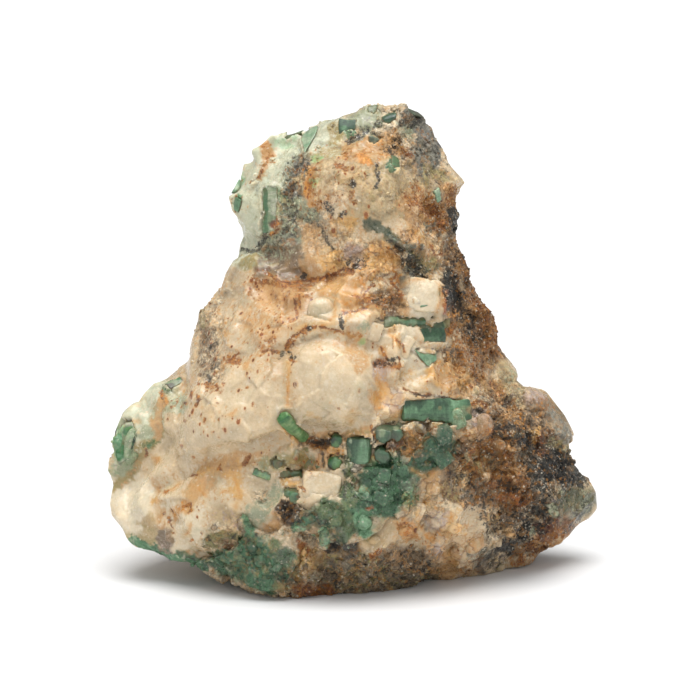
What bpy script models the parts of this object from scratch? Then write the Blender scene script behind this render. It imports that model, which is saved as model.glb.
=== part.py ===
"""Rough emerald: a hand specimen of quartz and mica schist with emerald crystals grown in it.

Metres, +Z up, the front face towards -Y. The origin is the middle of the footprint, on the ground.
"""
import math

import bmesh
import bpy
import numpy as np
from mathutils import Matrix, Vector, noise
from mathutils.bvhtree import BVHTree

MM = 0.001

# The stone's outline seen from the front, clockwise from its top: (x, z) in millimetres.
OUTLINE = [
    (6.3, 58.6), (7.6, 57.6), (8.5, 56.8), (9.7, 55.6), (10.7, 53.7), (11.6, 52.2), (12.1, 51.1), (13.2, 50.4),
    (13.8, 49.1), (13.7, 47.9), (13.1, 47.2), (13.6, 45.9), (13.5, 44), (13, 41), (13.9, 40.3), (14.3, 39.2),
    (14.8, 37.8), (14.6, 36.2), (15.8, 34.9), (17.1, 32.7), (18.1, 30.7), (18.4, 28.3), (19, 27.2), (19.9, 25.7),
    (21.5, 23.6), (22.2, 22.5), (23.2, 22.5), (24.5, 22.1), (25.5, 20.4), (27.1, 18.5), (27.9, 15.6), (28.6, 12.7),
    (30.3, 10.1), (31.1, 7.5), (30.7, 6.5), (29.1, 4.7), (26.2, 2.3), (23.8, 0.7), (21.5, -1.2), (18.5, -2.5),
    (12, -3), (4, -3), (-4, -3), (-9, -2.5), (-12.5, -0.4), (-15, 1.5), (-17.7, 2.7), (-21, 3),
    (-23.4, 3.3), (-25.5, 4.1), (-27.1, 5.8), (-29.7, 8.4), (-29.6, 11), (-29.9, 12.9), (-29.7, 14.2), (-29.9, 17.2),
    (-28.4, 20), (-26.3, 21.9), (-24.3, 23.9), (-23.2, 24.7), (-22.4, 25.6), (-20.9, 26.3), (-20, 27.4), (-19.8, 29),
    (-19.6, 30.6), (-18.8, 33.2), (-17, 35.1), (-15.7, 36.3), (-15.1, 38.4), (-14.2, 40.3), (-13.6, 42.5), (-13.7, 44.3),
    (-14.4, 45.3), (-15.1, 46.4), (-15, 47.4), (-15.1, 48.7), (-14.1, 50.2), (-13.3, 51.6), (-11.7, 53.2), (-10.1, 54.4),
    (-7.9, 55.1), (-6.3, 55.5), (-3.6, 56), (-3.3, 56.5), (-0.8, 57), (0.4, 57.5), (2, 58.1), (2.6, 58.7), (4.4, 58.6),
]
# How far behind the origin plane the outline's edge lies, at a few places round it: (x, z, y).
RIM_DEPTHS = [
    (31, 7, 6), (26, 19, 4), (18, 30, 2.5), (13, 46, 1.5), (5, 58, 1), (-8, 55, 0), (-15, 46, -1), (-17, 34, -1),
    (-25, 23, 0), (-30, 12, -3), (-27, 4, -6), (-20, 2, -7.5), (-12, 0, -7.5), (20, -1, 3), (26, 3, 6),
]
# Relief of the front face: (x, z, how far the stone stands forward), region by region.
FRONT_RELIEF = {
    "head": [(-6, 53.5, 4.5), (-11.5, 47.5, 2.5), (-8, 45.5, 5.5), (-2.5, 50, 9), (4, 50.5, 9.5), (3.5, 56.5, 4),
             (9.5, 53, 4), (10.5, 47.5, 5.5), (-2.5, 44, 9.5), (5.5, 43.5, 10.5), (0, 54.5, 6.5)],
    "neck": [(-12, 39, 6.5), (-7.5, 37.5, 11), (0, 38.5, 13), (5.5, 37.5, 12.5), (10.5, 37, 10), (13, 34, 6)],
    "waist": [(-15, 32, 8.5), (-17.5, 29, 6.5), (-9.5, 32.5, 13), (-3.5, 35, 14), (2, 33, 15.5), (9.5, 30, 12.5),
              (15.5, 29, 6)],
    "boss": [(-2.5, 27, 18.5), (-6, 25.5, 17), (1.5, 25, 18), (5.5, 27, 15.5), (10.5, 26.5, 13.5)],
    "slab": [(-12, 26, 16), (-18, 25, 11.5), (-15.5, 20.5, 16), (-10.5, 21, 17.5), (-21, 19.5, 10.5), (-20, 14.5, 12)],
    "left_lobe": [(-24.5, 22, 4), (-27.5, 15.5, 3), (-26, 10, 8), (-22.5, 6, 9), (-14.5, 15, 14), (-18, 9.5, 14),
                  (-12, 10.5, 16)],
    "vein": [(-7.5, 17.5, 14.5), (-3, 17.5, 15.5), (-3.5, 14, 17), (0.5, 19, 17), (9, 23.5, 15), (5.5, 17.5, 16.5),
             (3.5, 13, 17.5), (-2.5, 9.5, 17.5), (-11, 5, 14.5), (-14.5, 5.5, 13.5)],
    "foot": [(-5, 2.5, 13.8), (1, 5.5, 15), (7, 5, 13), (10.5, 8.5, 14), (14, 11, 13), (13, 3.5, 9), (18, 5, 7),
             (23.5, 6, 3), (-8, -2, 12.5), (0, -2, 10), (8, -2, 6), (17, -2, 0)],
    "flank": [(16, 21, 12), (14, 17, 14), (19, 17.5, 10.5), (23, 20.5, 5.5), (25.5, 16.5, 4), (23, 12, 7.5),
              (27.5, 11, 2), (18, 13, 12), (18, 23.5, 8)],
}
# Relief of the back, a broken face: (x, z, how far it stands back).
BACK_RELIEF = {
    "head": [(0, 50, 8), (8, 49, 7), (-9, 48, 5), (2, 56, 4)],
    "waist": [(0, 38, 13), (-10, 34, 10), (11, 34, 10), (-18, 25, 10), (0, 27, 17), (14, 24, 14)],
    "foot": [(24, 17, 10), (-24, 15, 10), (-10, 14, 17), (6, 14, 19), (18, 11, 15), (27, 9, 9), (-22, 8, 9),
             (-9, 3, 13), (8, 3, 16), (20, 4, 13)],
}
OUTLINE_STEP = 1.1
RIM_ROUNDING = 4.2
MIDDLE = (-0.5, 24.0)
RING_SHARES = [0.02, 0.06, 0.12, 0.19, 0.27, 0.35, 0.43, 0.51, 0.59, 0.67, 0.75, 0.83, 0.91, 0.97]
VOXEL = 0.8

# Seams of the front face, as (x, z) points from end to end, with how wide and how deep each is worn.
SEAMS = {
    "head_crease": ([(-15, 41), (-12, 42.5), (-8.5, 40), (-4.5, 39.3), (-1.5, 40.5), (3, 42)], 1.0, 1.3),
    "stain_line": ([(-11, 36.5), (-7.5, 35), (-4, 36.5), (0, 35.3), (4, 36.5)], 0.8, 0.6),
    "boss_top": ([(-8.5, 29.5), (-7.2, 31.5), (-4, 32.5), (0, 31.8), (3.5, 31)], 0.9, 1.0),
    "boss_left": ([(-8.5, 30), (-8.2, 26), (-8, 22)], 0.8, 0.7),
    "boss_right": ([(3.6, 31), (4.2, 27), (3.8, 23)], 0.9, 0.9),
    "boss_foot": ([(-11, 18.3), (-7, 20), (-4, 20), (-1, 20.3), (2, 22.3)], 1.2, 1.6),
    "slab_foot": ([(-25, 12.5), (-21.5, 14.5), (-17.5, 17), (-14, 18.2), (-11, 18.3)], 1.2, 1.5),
    "ear_crease": ([(-21.8, 25.5), (-22, 22), (-23.5, 18.5), (-26, 15), (-28.5, 12)], 1.1, 1.4),
    "lobe_crease": ([(-26, 11.5), (-22.5, 9), (-19.5, 6), (-18.5, 3)], 1.0, 0.9),
    "foot_crease": ([(-12, 8), (-8.5, 9.5), (-6, 8), (-4.5, 5)], 1.3, 1.2),
    "vein_edge": ([(8.5, 12.5), (11, 15.5), (12.5, 18.5), (13.5, 21.5)], 0.9, 0.8),
    "flank_edge": ([(13, 34), (16, 30), (19, 25.5), (21, 21.5), (22, 18)], 1.0, 0.8),
    "undercut": ([(10, 4), (15, 5.5), (20, 6.5), (26, 9), (29, 10)], 1.0, 0.6),
}
# Lumps on the front face: (x, z, radius across, how far it stands out).
LUMPS = {
    "quartz_knob": (15.6, 21, 1.5, 0.9), "quartz_heap": (11.5, 10, 2.6, 0.8), "quartz_bead": (8, 7.5, 1.6, 0.6),
    "brow": (2, 50, 4, 0.8), "cheek": (-12.5, 46, 2.6, 0.8), "white_block": (-4, 13.8, 2.4, 0.9),
    "pale_patch": (9.3, 36, 2.6, 0.8), "spur": (8.5, 29.5, 2.4, 0.8), "lobe": (-19, 7.5, 3.2, 0.8),
    "corner": (26, 10, 3, 0.7), "foot_lump": (2, 5, 2.4, 0.6), "ledge": (20, 19, 2.4, 0.8),
}
# Where the stone is clean quartz and breaks in large smooth faces: (x, z, reach across, reach up).
CLEAN_QUARTZ = [(-13, 25, 9, 9), (-2.5, 26, 6, 5.5), (-20, 9, 9, 6), (-7, 33, 8, 4), (-1, 49, 8, 5), (-12, 47, 4, 6)]
CHIP_SIZE = 5.2
CHIP_STEP = (0.35, 0.95)
LUMP_SIZE = 3.4
LUMP_HEIGHT = (0.25, 0.6)
OUTLINE_BREAK = 0.45
STONE_TRIANGLES = 5200

# The band of grown-together emerald across the foot, outlined on the front face: (x, z).
MASS_OUTLINE = [
    (9.7, 21.2), (11.4, 20.8), (12.4, 19.4), (10.8, 17.7), (9.6, 16.6), (7.5, 15), (6.8, 13.3), (6.2, 11.5),
    (4, 10.8), (2.9, 9.2), (1, 8.1), (-0.8, 7.3), (-2.6, 7.7), (-4, 6.5), (-5.8, 5.7), (-6.9, 4.6), (-8.1, 3.2),
    (-9, 1.2), (-9.6, -2), (-18.6, -2), (-18.6, 3.2), (-16.9, 4.4), (-14.4, 5.9), (-13.3, 6.9), (-12.6, 8.1),
    (-13.3, 9.7), (-12.9, 10.5), (-11.7, 9.2), (-10.2, 8.4), (-8, 9.1), (-6.8, 10.9), (-6.2, 12), (-4.8, 12),
    (-3, 12.9), (-1.6, 13.8), (-0.7, 15), (0.2, 15.9), (1.3, 16.4), (3, 16.6), (4.7, 16.8), (5.8, 17.7),
    (7.1, 17.9), (7.9, 19.1), (8.6, 20.5),
]
# How deep the band goes: the y of its floor, as constant, slope along x and slope along z.
MASS_FLOOR = (-7.45, -0.15, -0.12)
MASS_CRYSTAL_SIZE = 2.3
MASS_RISE, MASS_STEP = 0.45, 0.55
MASS_TRIANGLES = 11000

# Emerald crystals: six-sided prisms, each from one end to the other as (x, z, how far its axis stands out
# from the stone there), with its width across the flats and its turn about its axis in degrees.
PRISMS = {
    "emerald_long_prism": [((5.9, 23.6, -0.8), (11.9, 23.1, -0.8), 2.6, 35), ((11.3, 23, -0.6), (13.8, 22.7, -0.3), 2.5, 10)],
    "emerald_stub": [((-8.1, 22.9, 0.9), (-5.7, 19.9, -0.4), 1.55, 12)],
    "emerald_upper_bar": [((3.5, 33.5, -0.35), (8.5, 33.1, -0.35), 1.35, 8)],
    "emerald_upper_block": [((8, 31.6, -0.7), (10.7, 31.3, -0.6), 2, 15), ((9.4, 33, -0.6), (11, 32.8, -0.5), 1.6, 0)],
    "emerald_twin_ends": [((3.9, 21.3, -2.4), (3.7, 20.9, 0.45), 1.9, 0), ((5.3, 20.8, -2.4), (5.2, 20.85, 0.4), 1.6, 22)],
    "emerald_round_end": [((3.7, 18.4, -2.4), (3.6, 18.35, 0.5), 1.9, 10)],
    "emerald_light_prism": [((0.9, 20.2, -0.7), (1, 17.3, -0.7), 2.6, 38)],
    "emerald_dark_end": [((-1.7, 19.8, -1.8), (-1.8, 19.6, 0.35), 1.5, 20)],
    "emerald_vivid_end": [((-2, 17.1, -1.8), (-2, 17, 0.35), 1.6, 0)],
    "emerald_bright_chip": [((-11.6, 15.9, 0), (-9.7, 15.1, 0), 0.9, 10)],
    "emerald_grey_pair": [((-7.8, 15.6, -1.4), (-7.9, 15.5, 0.3), 1.1, 5), ((-6.6, 15.5, -1.4), (-6.6, 15.3, 0.35), 1.3, 25)],
    "emerald_low_pair": [((-7.5, 13.6, -1.2), (-7.6, 13.5, 0.3), 0.9, 0), ((-6.8, 13.3, -1.2), (-6.7, 13.2, 0.4), 1.3, 20)],
    "emerald_dark_wedge": [((-8.9, 17, -1.3), (-8.8, 16.9, 0.3), 1.2, 0)],
    "emerald_shoulder_prism": [((-9.6, 48.5, -0.6), (-9.8, 43.2, -0.6), 2.1, 20)],
    "emerald_crown_hex": [((4.5, 56.5, -2.4), (4.4, 57, 0.5), 1.7, 0)],
    "emerald_crown_peak": [((2.5, 57.1, -0.9), (2.6, 58.3, 0.2), 1.2, 15)],
    "emerald_crown_edge": [((-1.4, 55.3, -0.3), (0.6, 55.6, -0.3), 1.3, 10)],
    "emerald_grey_end": [((2.6, 54.4, -1.8), (2.6, 54.6, 0.45), 1.25, 0)],
    "emerald_crown_left": [((-7.9, 54.4, -0.2), (-6.2, 54.9, -0.2), 1, 0)],
    "emerald_crown_right": [((6.4, 57.5, -0.3), (8, 56.9, -0.2), 1.1, 0)],
    "emerald_head_chip": [((5, 52.3, -0.3), (5.1, 51.2, -0.2), 1.1, 25)],
    "emerald_right_chip": [((10.1, 48.5, -0.1), (10.4, 47.1, -0.1), 1, 10)],
    "emerald_rim_buds": [((-13.3, 48.9, -0.1), (-13.9, 47.8, 0.1), 0.9, 0)],
    "emerald_rim_chip": [((-13.3, 47.1, -0.1), (-13.9, 45.6, 0), 0.85, 0)],
    "emerald_ear": [((-22.5, 23.7, -0.2), (-20.9, 24.5, -0.2), 1.3, 0)],
}
BEVEL_FROM, CRYSTAL_BEVEL = 1.5, 0.12
# Flat chips of emerald: the outline as (x, z), and how far each stands out.
PLATES = {
    "emerald_upper_chip": ([(7.5, 30.3), (8.2, 29.9), (10.1, 29.7), (10, 28.9), (9.1, 28.3), (8.1, 29.4)], 0.35),
    "emerald_slope_chip": ([(-6.2, 54.2), (-4.2, 54.9), (-4.4, 54.4), (-5.6, 53.1)], 0.25),
    "emerald_left_patch": ([(-28.5, 19), (-27.1, 19.4), (-26.6, 18.2), (-27.1, 16.1), (-28.4, 14.4), (-29.4, 16.6)],
                           0.35),
}
PLATE_DEPTH = 1.6
GAP = 0.3

# Colour, roughness and metallic value of each material.
STONE_FINISH = ((0.60, 0.47, 0.33), 0.75, 0)
EMERALD_FINISHES = {
    "deep": ((0.045, 0.17, 0.11), 0.35, 0), "vivid": ((0.05, 0.32, 0.14), 0.3, 0),
    "light": ((0.22, 0.50, 0.34), 0.35, 0), "grey": ((0.16, 0.26, 0.20), 0.45, 0),
}
EMERALD_TONES = {
    "emerald_stub": "vivid", "emerald_vivid_end": "vivid", "emerald_bright_chip": "vivid", "emerald_rim_buds": "vivid",
    "emerald_rim_chip": "vivid", "emerald_ear": "vivid", "emerald_upper_chip": "light", "emerald_light_prism": "light",
    "emerald_slope_chip": "light", "emerald_crown_edge": "light", "emerald_crown_peak": "light",
    "emerald_twin_ends": "grey", "emerald_grey_pair": "grey", "emerald_grey_end": "grey", "emerald_crown_left": "grey",
    "emerald_crown_right": "grey", "emerald_left_patch": "light",
}


def clear_scene():
    for thing in list(bpy.data.objects):
        bpy.data.objects.remove(thing, do_unlink=True)


def new_object(name, shape):
    mesh = bpy.data.meshes.new(name)
    shape.to_mesh(mesh)
    shape.free()
    made = bpy.data.objects.new(name, mesh)
    bpy.context.collection.objects.link(made)
    return made


def settle(thing):
    """Applies the object's modifiers to its mesh."""
    bpy.context.view_layer.update()
    graph = bpy.context.evaluated_depsgraph_get()
    shaped = bpy.data.meshes.new_from_object(thing.evaluated_get(graph))
    thing.modifiers.clear()
    thing.data = shaped


def even_outline():
    """The outline as a smooth closed curve with evenly spaced points."""
    corners = np.array(OUTLINE, float)
    following = np.roll(corners, -1, axis=0)
    lengths = np.linalg.norm(following - corners, axis=1)
    reach = np.concatenate([[0], np.cumsum(lengths)])
    count = round(reach[-1] / OUTLINE_STEP)
    stations = np.linspace(0, reach[-1], count, endpoint=False)
    closed = np.vstack([corners, corners[:1]])
    return np.stack([np.interp(stations, reach, closed[:, axis]) for axis in (0, 1)], axis=1)


def rim_depth(points):
    marks = np.array(RIM_DEPTHS, float)
    away = ((points[:, None, :] - marks[None, :, :2]) ** 2).sum(axis=2)
    weight = (away + 1) ** -1.5
    return (weight * marks[:, 2]).sum(axis=1) / weight.sum(axis=1)


def thin_plate(away):
    return np.where(away > 0, away ** 2 * np.log(np.maximum(away, 1e-9)), 0)


class Relief:
    """A smooth surface through the surveyed points of one face."""

    def __init__(self, regions):
        marks = np.array([mark for region in regions.values() for mark in region], float)
        self.places = marks[:, :2]
        count = len(marks)
        away = np.linalg.norm(self.places[:, None] - self.places[None], axis=2)
        flat = np.hstack([np.ones((count, 1)), self.places])
        system = np.block([[thin_plate(away) + 2.0 * np.eye(count), flat], [flat.T, np.zeros((3, 3))]])
        answer = np.linalg.solve(system, np.concatenate([marks[:, 2], np.zeros(3)]))
        self.bends, self.plane = answer[:count], answer[count:]

    def height(self, points):
        away = np.linalg.norm(points[:, None] - self.places[None], axis=2)
        return thin_plate(away) @ self.bends + self.plane[0] + points @ self.plane[1:]


def distance_inside(points, outline):
    """How far each point lies inside the outline."""
    start = outline
    run = np.roll(outline, -1, axis=0) - outline
    offset = points[:, None] - start[None]
    along = np.clip((offset * run).sum(axis=2) / (run ** 2).sum(axis=1), 0, 1)
    return np.linalg.norm(offset - along[..., None] * run, axis=2).min(axis=1)


def stone_form():
    """The whole stone before its crystals: the outline's ring drawn in, ring by ring, over the relief of each face."""
    outline = even_outline()
    shape = bmesh.new()
    depths = rim_depth(outline)
    rim = [shape.verts.new((x, y, z)) for (x, z), y in zip(outline, depths)]
    rim_edges = [shape.edges.new(pair) for pair in zip(rim, rim[1:] + rim[:1])]
    middle = np.array(MIDDLE)
    for relief, side in ((Relief(FRONT_RELIEF), -1), (Relief(BACK_RELIEF), 1)):
        ring_edges, drawn_in = rim_edges, 0.0
        for share in RING_SHARES:
            grown = bmesh.ops.extrude_edge_only(shape, edges=ring_edges)["geom"]
            ring_edges = [item for item in grown if isinstance(item, bmesh.types.BMEdge)]
            ring = [item for item in grown if isinstance(item, bmesh.types.BMVert)]
            flat = np.array([(vert.co.x, vert.co.z) for vert in ring])
            flat = middle + (flat - middle) * (1 - share) / (1 - drawn_in)
            rise = np.clip(distance_inside(flat, outline) / RIM_ROUNDING, 0, 1)
            rise = np.sqrt(1 - (1 - rise) ** 2)
            edge_depth = rim_depth(flat)
            depth = edge_depth + (side * relief.height(flat) - edge_depth) * rise
            for vert, (x, z), y in zip(ring, flat, depth):
                vert.co = (x, y, z)
            drawn_in = share
        bmesh.ops.edgeloop_fill(shape, edges=ring_edges)
    bmesh.ops.triangulate(shape, faces=[face for face in shape.faces if len(face.verts) > 4])
    bmesh.ops.recalc_face_normals(shape, faces=shape.faces)
    bmesh.ops.scale(shape, vec=(MM, MM, MM), verts=shape.verts)
    stone = new_object("matrix_rock", shape)
    even = stone.modifiers.new("even", "REMESH")
    even.mode = "VOXEL"
    even.voxel_size = VOXEL * MM
    settle(stone)
    return stone


def front_share(points):
    """1 on the front face and 0 on the back, with a soft change across the rim."""
    return np.clip((2.0 - points[:, 1]) / 4.0, 0, 1)


def smooth_step(value):
    value = np.clip(value, 0, 1)
    return value * value * (3 - 2 * value)


def crumbling(points):
    """How crumbly the stone is at each point: 0 in clean quartz, 1 in the mica schist."""
    clean = np.zeros(len(points))
    for x, z, across, up in CLEAN_QUARTZ:
        reach = np.hypot((points[:, 0] - x) / across, (points[:, 2] - z) / up)
        clean = np.maximum(clean, smooth_step(1.6 - reach))
    return 1 - clean * front_share(points)


def chip_relief(points, size):
    """Flat chips of about this size: each has its own height and its own tilt."""
    heights = np.empty(len(points))
    for index, point in enumerate(points):
        where = Vector(point) / size
        nearest = noise.voronoi(where)[1][0]
        tilt = noise.cell_vector(nearest * 7.3) - Vector((0.5, 0.5, 0.5))
        heights[index] = noise.cell(nearest * 5.1) - 0.5 + 1.6 * tilt.dot(where - nearest)
    return heights


def lump_relief(points, size):
    return np.array([noise.fractal(Vector(point) / size, 0.9, 2.1, 3) for point in points])


def seam_depth(points):
    """How deep the seams of the front face cut at each point."""
    depth = np.zeros(len(points))
    flat = points[:, [0, 2]]
    for corners, width, deep in SEAMS.values():
        ends = np.array(corners, float)
        run = ends[1:] - ends[:-1]
        offset = flat[:, None] - ends[None, :-1]
        along = np.clip((offset * run).sum(axis=2) / (run ** 2).sum(axis=1), 0, 1)
        away = np.linalg.norm(offset - along[..., None] * run, axis=2).min(axis=1)
        depth = np.maximum(depth, deep * np.exp(-(away / width) ** 2))
    return depth * front_share(points)


def lump_height(points):
    height = np.zeros(len(points))
    for x, z, radius, stands in LUMPS.values():
        away = np.hypot(points[:, 0] - x, points[:, 2] - z)
        height += stands * smooth_step(1.35 - away / radius)
    return height * front_share(points)


def carve(stone):
    """Breaks the smooth form into chips and lumps, and wears its seams."""
    points, facing = mesh_points(stone.data)
    crumble = crumbling(points)
    rise = np.interp(crumble, (0, 1), CHIP_STEP) * chip_relief(points, CHIP_SIZE)
    rise += np.interp(crumble, (0, 1), LUMP_HEIGHT) * lump_relief(points, LUMP_SIZE)
    rise *= np.interp(np.abs(facing[:, 1]), (0, 0.6), (OUTLINE_BREAK, 1))
    rise += lump_height(points) - seam_depth(points)
    set_points(stone.data, points + facing * rise[:, None])
    ease = stone.modifiers.new("ease", "SMOOTH")
    ease.factor, ease.iterations = 0.35, 1
    settle(stone)


def stand_flat(stone):
    """Cuts the stone level at the ground, for its resting face."""
    shape = bmesh.new()
    shape.from_mesh(stone.data)
    everything = [*shape.verts, *shape.edges, *shape.faces]
    cut = bmesh.ops.bisect_plane(shape, geom=everything, plane_co=(0, 0, 0), plane_no=(0, 0, -1), clear_outer=True)
    rim = [item for item in cut["geom_cut"] if isinstance(item, bmesh.types.BMEdge)]
    bmesh.ops.edgeloop_fill(shape, edges=rim)
    bmesh.ops.triangulate(shape, faces=[face for face in shape.faces if len(face.verts) > 3])
    shape.to_mesh(stone.data)
    shape.free()


def thin_out(thing, triangles):
    thin = thing.modifiers.new("thin", "DECIMATE")
    thin.ratio = triangles / (2 * len(thing.data.polygons))
    settle(thing)


def mesh_points(mesh):
    """The mesh's points in millimetres and which way each faces."""
    places, facing = np.empty(len(mesh.vertices) * 3, np.float32), np.empty(len(mesh.vertices) * 3, np.float32)
    mesh.vertices.foreach_get("co", places)
    mesh.vertices.foreach_get("normal", facing)
    return places.reshape(-1, 3) / MM, facing.reshape(-1, 3)


def set_points(mesh, points):
    mesh.vertices.foreach_set("co", (points * MM).astype(np.float32).ravel())
    mesh.update()


class Face:
    """The stone's front face, for setting crystals on it."""

    def __init__(self, stone):
        corners = [vert.co / MM for vert in stone.data.vertices]
        self.tree = BVHTree.FromPolygons(corners, [face.vertices[:] for face in stone.data.polygons])

    def point(self, x, z, stands):
        hit = self.tree.ray_cast(Vector((x, -60, z)), Vector((0, 1, 0)))[0]
        if hit is None or hit.y > 6:
            hit = self.tree.find_nearest(Vector((x, 0, z)))[0]
        return Vector((x, hit.y - stands, z))


def add_prism(shape, face, start, end, width, turn, grow):
    """One six-sided prism between two places on the face."""
    start, end = face.point(*start), face.point(*end)
    along = (end - start).normalized()
    radius = (width / 2 + grow) / math.cos(math.radians(30))
    place = Matrix.Translation((start + end) / 2) @ along.to_track_quat("Z", "Y").to_matrix().to_4x4()
    place = place @ Matrix.Rotation(math.radians(turn), 4, "Z")
    length = (end - start).length + 2 * grow
    made = bmesh.ops.create_cone(shape, cap_ends=True, segments=6, radius1=radius, radius2=radius * 0.94, depth=length,
                                 matrix=place)
    if width >= BEVEL_FROM and not grow:
        edges = {edge for vert in made["verts"] for edge in vert.link_edges}
        bmesh.ops.bevel(shape, geom=sorted(edges, key=lambda edge: edge.index), offset=CRYSTAL_BEVEL, segments=1,
                        profile=0.5, affect="EDGES", material=-1)


def grown_outline(outline, grow):
    """The outline moved outwards all round."""
    corners = np.array(outline, float)
    run = np.roll(corners, -1, axis=0) - corners
    run /= np.linalg.norm(run, axis=1)[:, None]
    out = np.stack([-run[:, 1], run[:, 0]], axis=1)
    area = np.cross(corners, np.roll(corners, -1, axis=0)).sum()
    out *= -1 if area > 0 else 1
    corner = out + np.roll(out, 1, axis=0)
    corner /= np.maximum((corner ** 2).sum(axis=1), 1.2)[:, None] / 2
    return corners + corner * grow


def add_block(shape, outline, front, back):
    """A closed block over an outline, from its front depths to its back depths."""
    faces = []
    for depths in (front, back):
        verts = [shape.verts.new((x, y, z)) for (x, z), y in zip(outline, depths)]
        faces.append(verts)
    count = len(outline)
    for index in range(count):
        after = (index + 1) % count
        shape.faces.new((faces[0][index], faces[0][after], faces[1][after], faces[1][index]))
    ends = [shape.faces.new(faces[0]), shape.faces.new(faces[1])]
    bmesh.ops.triangulate(shape, faces=ends)
    bmesh.ops.recalc_face_normals(shape, faces=shape.faces)


def add_plate(shape, face, outline, stands, grow):
    wide = grown_outline(outline, grow)
    surface = [face.point(x, z, 0).y for x, z in wide]
    add_block(shape, wide, [y - stands - grow for y in surface], [y + PLATE_DEPTH + grow for y in surface])


def in_metres(shape):
    bmesh.ops.scale(shape, vec=(MM, MM, MM), verts=shape.verts)
    return shape


def merge_prisms(name, parts):
    """Joins the crystals of one group that have grown together."""
    whole = parts[0]
    for other in parts[1:]:
        join = whole.modifiers.new("join", "BOOLEAN")
        join.operation, join.object = "UNION", other
    settle(whole)
    for other in parts[1:]:
        bpy.data.objects.remove(other, do_unlink=True)
    return whole


def emerald_crystals(face):
    made = []
    for name, prisms in PRISMS.items():
        parts = []
        for prism in prisms:
            shape = bmesh.new()
            add_prism(shape, face, *prism, grow=0)
            parts.append(new_object(name, in_metres(shape)))
        made.append(merge_prisms(name, parts))
    for name, (outline, stands) in PLATES.items():
        shape = bmesh.new()
        add_plate(shape, face, outline, stands, 0)
        made.append(new_object(name, in_metres(shape)))
    return made


def socket_cutters(face):
    """A cutter for each crystal, larger than it by the gap."""
    cutters = bpy.data.collections.new("sockets")
    bpy.context.scene.collection.children.link(cutters)
    jobs = [(add_prism, prism) for prisms in PRISMS.values() for prism in prisms]
    jobs += [(add_plate, plate) for plate in PLATES.values()]
    for add, sizes in jobs:
        shape = bmesh.new()
        add(shape, face, *sizes, grow=GAP)
        keep_as_cutter(new_object("socket", in_metres(shape)), cutters)
    return cutters


def keep_as_cutter(cutter, cutters):
    bpy.context.collection.objects.unlink(cutter)
    cutters.objects.link(cutter)
    cutter.hide_render = True
    cutter.display_type = "WIRE"


def mass_block(grow):
    outline = grown_outline(MASS_OUTLINE, grow)
    level, along_x, along_z = MASS_FLOOR
    shape = bmesh.new()
    add_block(shape, outline, [-30] * len(outline), [level + along_x * x + along_z * z + grow for x, z in outline])
    return in_metres(shape)


def cut(thing, operation, tool):
    step = thing.modifiers.new(operation.lower(), "BOOLEAN")
    step.operation = operation
    if isinstance(tool, bpy.types.Collection):
        step.operand_type, step.collection = "COLLECTION", tool
    else:
        step.object = tool


def emerald_mass(mass):
    """The band of grown-together emerald, its surface stepped like crossed crystals."""
    points, facing = mesh_points(mass.data)
    rise = MASS_RISE + MASS_STEP * chip_relief(points, MASS_CRYSTAL_SIZE)
    set_points(mass.data, points + facing * rise[:, None])
    thin_out(mass, MASS_TRIANGLES)
    stand_flat(mass)
    block = new_object("mass_block", mass_block(0))
    cut(mass, "INTERSECT", block)
    settle(mass)
    bpy.data.objects.remove(block, do_unlink=True)
    return mass


def finish(thing, name, look):
    colour, roughness, metallic = look
    material = bpy.data.materials.get(name) or bpy.data.materials.new(name)
    material.use_nodes = True
    surface = material.node_tree.nodes["Principled BSDF"]
    surface.inputs["Base Color"].default_value = (*colour, 1)
    surface.inputs["Roughness"].default_value = roughness
    surface.inputs["Metallic"].default_value = metallic
    thing.data.materials.clear()
    thing.data.materials.append(material)


def centre(things, cutters):
    """Moves everything so that the origin is the middle of the footprint."""
    corners = np.vstack([mesh_points(thing.data)[0] for thing in things])
    middle = (corners.min(axis=0) + corners.max(axis=0)) / 2
    shift = Matrix.Translation(Vector((-middle[0], -middle[1], 0)) * MM)
    for thing in [*things, *cutters.objects]:
        thing.data.transform(shift)


def keep_largest(thing):
    """Drops the loose slivers that the sockets leave beside the stone."""
    shape = bmesh.new()
    shape.from_mesh(thing.data)
    unseen, pieces = set(shape.verts), []
    while unseen:
        piece, edge_of = set(), [unseen.pop()]
        while edge_of:
            vert = edge_of.pop()
            piece.add(vert)
            near = {edge.other_vert(vert) for edge in vert.link_edges} & unseen
            unseen -= near
            edge_of.extend(near)
        pieces.append(piece)
    pieces.sort(key=len)
    slivers = [vert for piece in pieces[:-1] for vert in piece]
    bmesh.ops.delete(shape, geom=slivers, context="VERTS")
    shape.to_mesh(thing.data)
    shape.free()


def main():
    clear_scene()
    stone = stone_form()
    carve(stone)
    mass = stone.copy()
    mass.data = stone.data.copy()
    mass.name = mass.data.name = "emerald_mass"
    bpy.context.collection.objects.link(mass)
    thin_out(stone, STONE_TRIANGLES)
    stand_flat(stone)
    face = Face(stone)
    crystals = [emerald_mass(mass), *emerald_crystals(face)]
    cutters = socket_cutters(face)
    keep_as_cutter(new_object("mass_socket", mass_block(GAP)), cutters)
    centre([stone, *crystals], cutters)
    cut(stone, "DIFFERENCE", cutters)
    settle(stone)
    keep_largest(stone)
    finish(stone, "matrix", STONE_FINISH)
    for crystal in crystals:
        tone = EMERALD_TONES.get(crystal.name, "deep")
        finish(crystal, "emerald_" + tone, EMERALD_FINISHES[tone])


main()
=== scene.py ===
# Rough emerald: crystals of emerald grown in quartz and mica schist, standing on a white studio floor.
import bpy
import bmesh
import math
import random
import numpy as np
from mathutils import Matrix, Vector, noise
from mathutils.bvhtree import BVHTree


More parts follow.
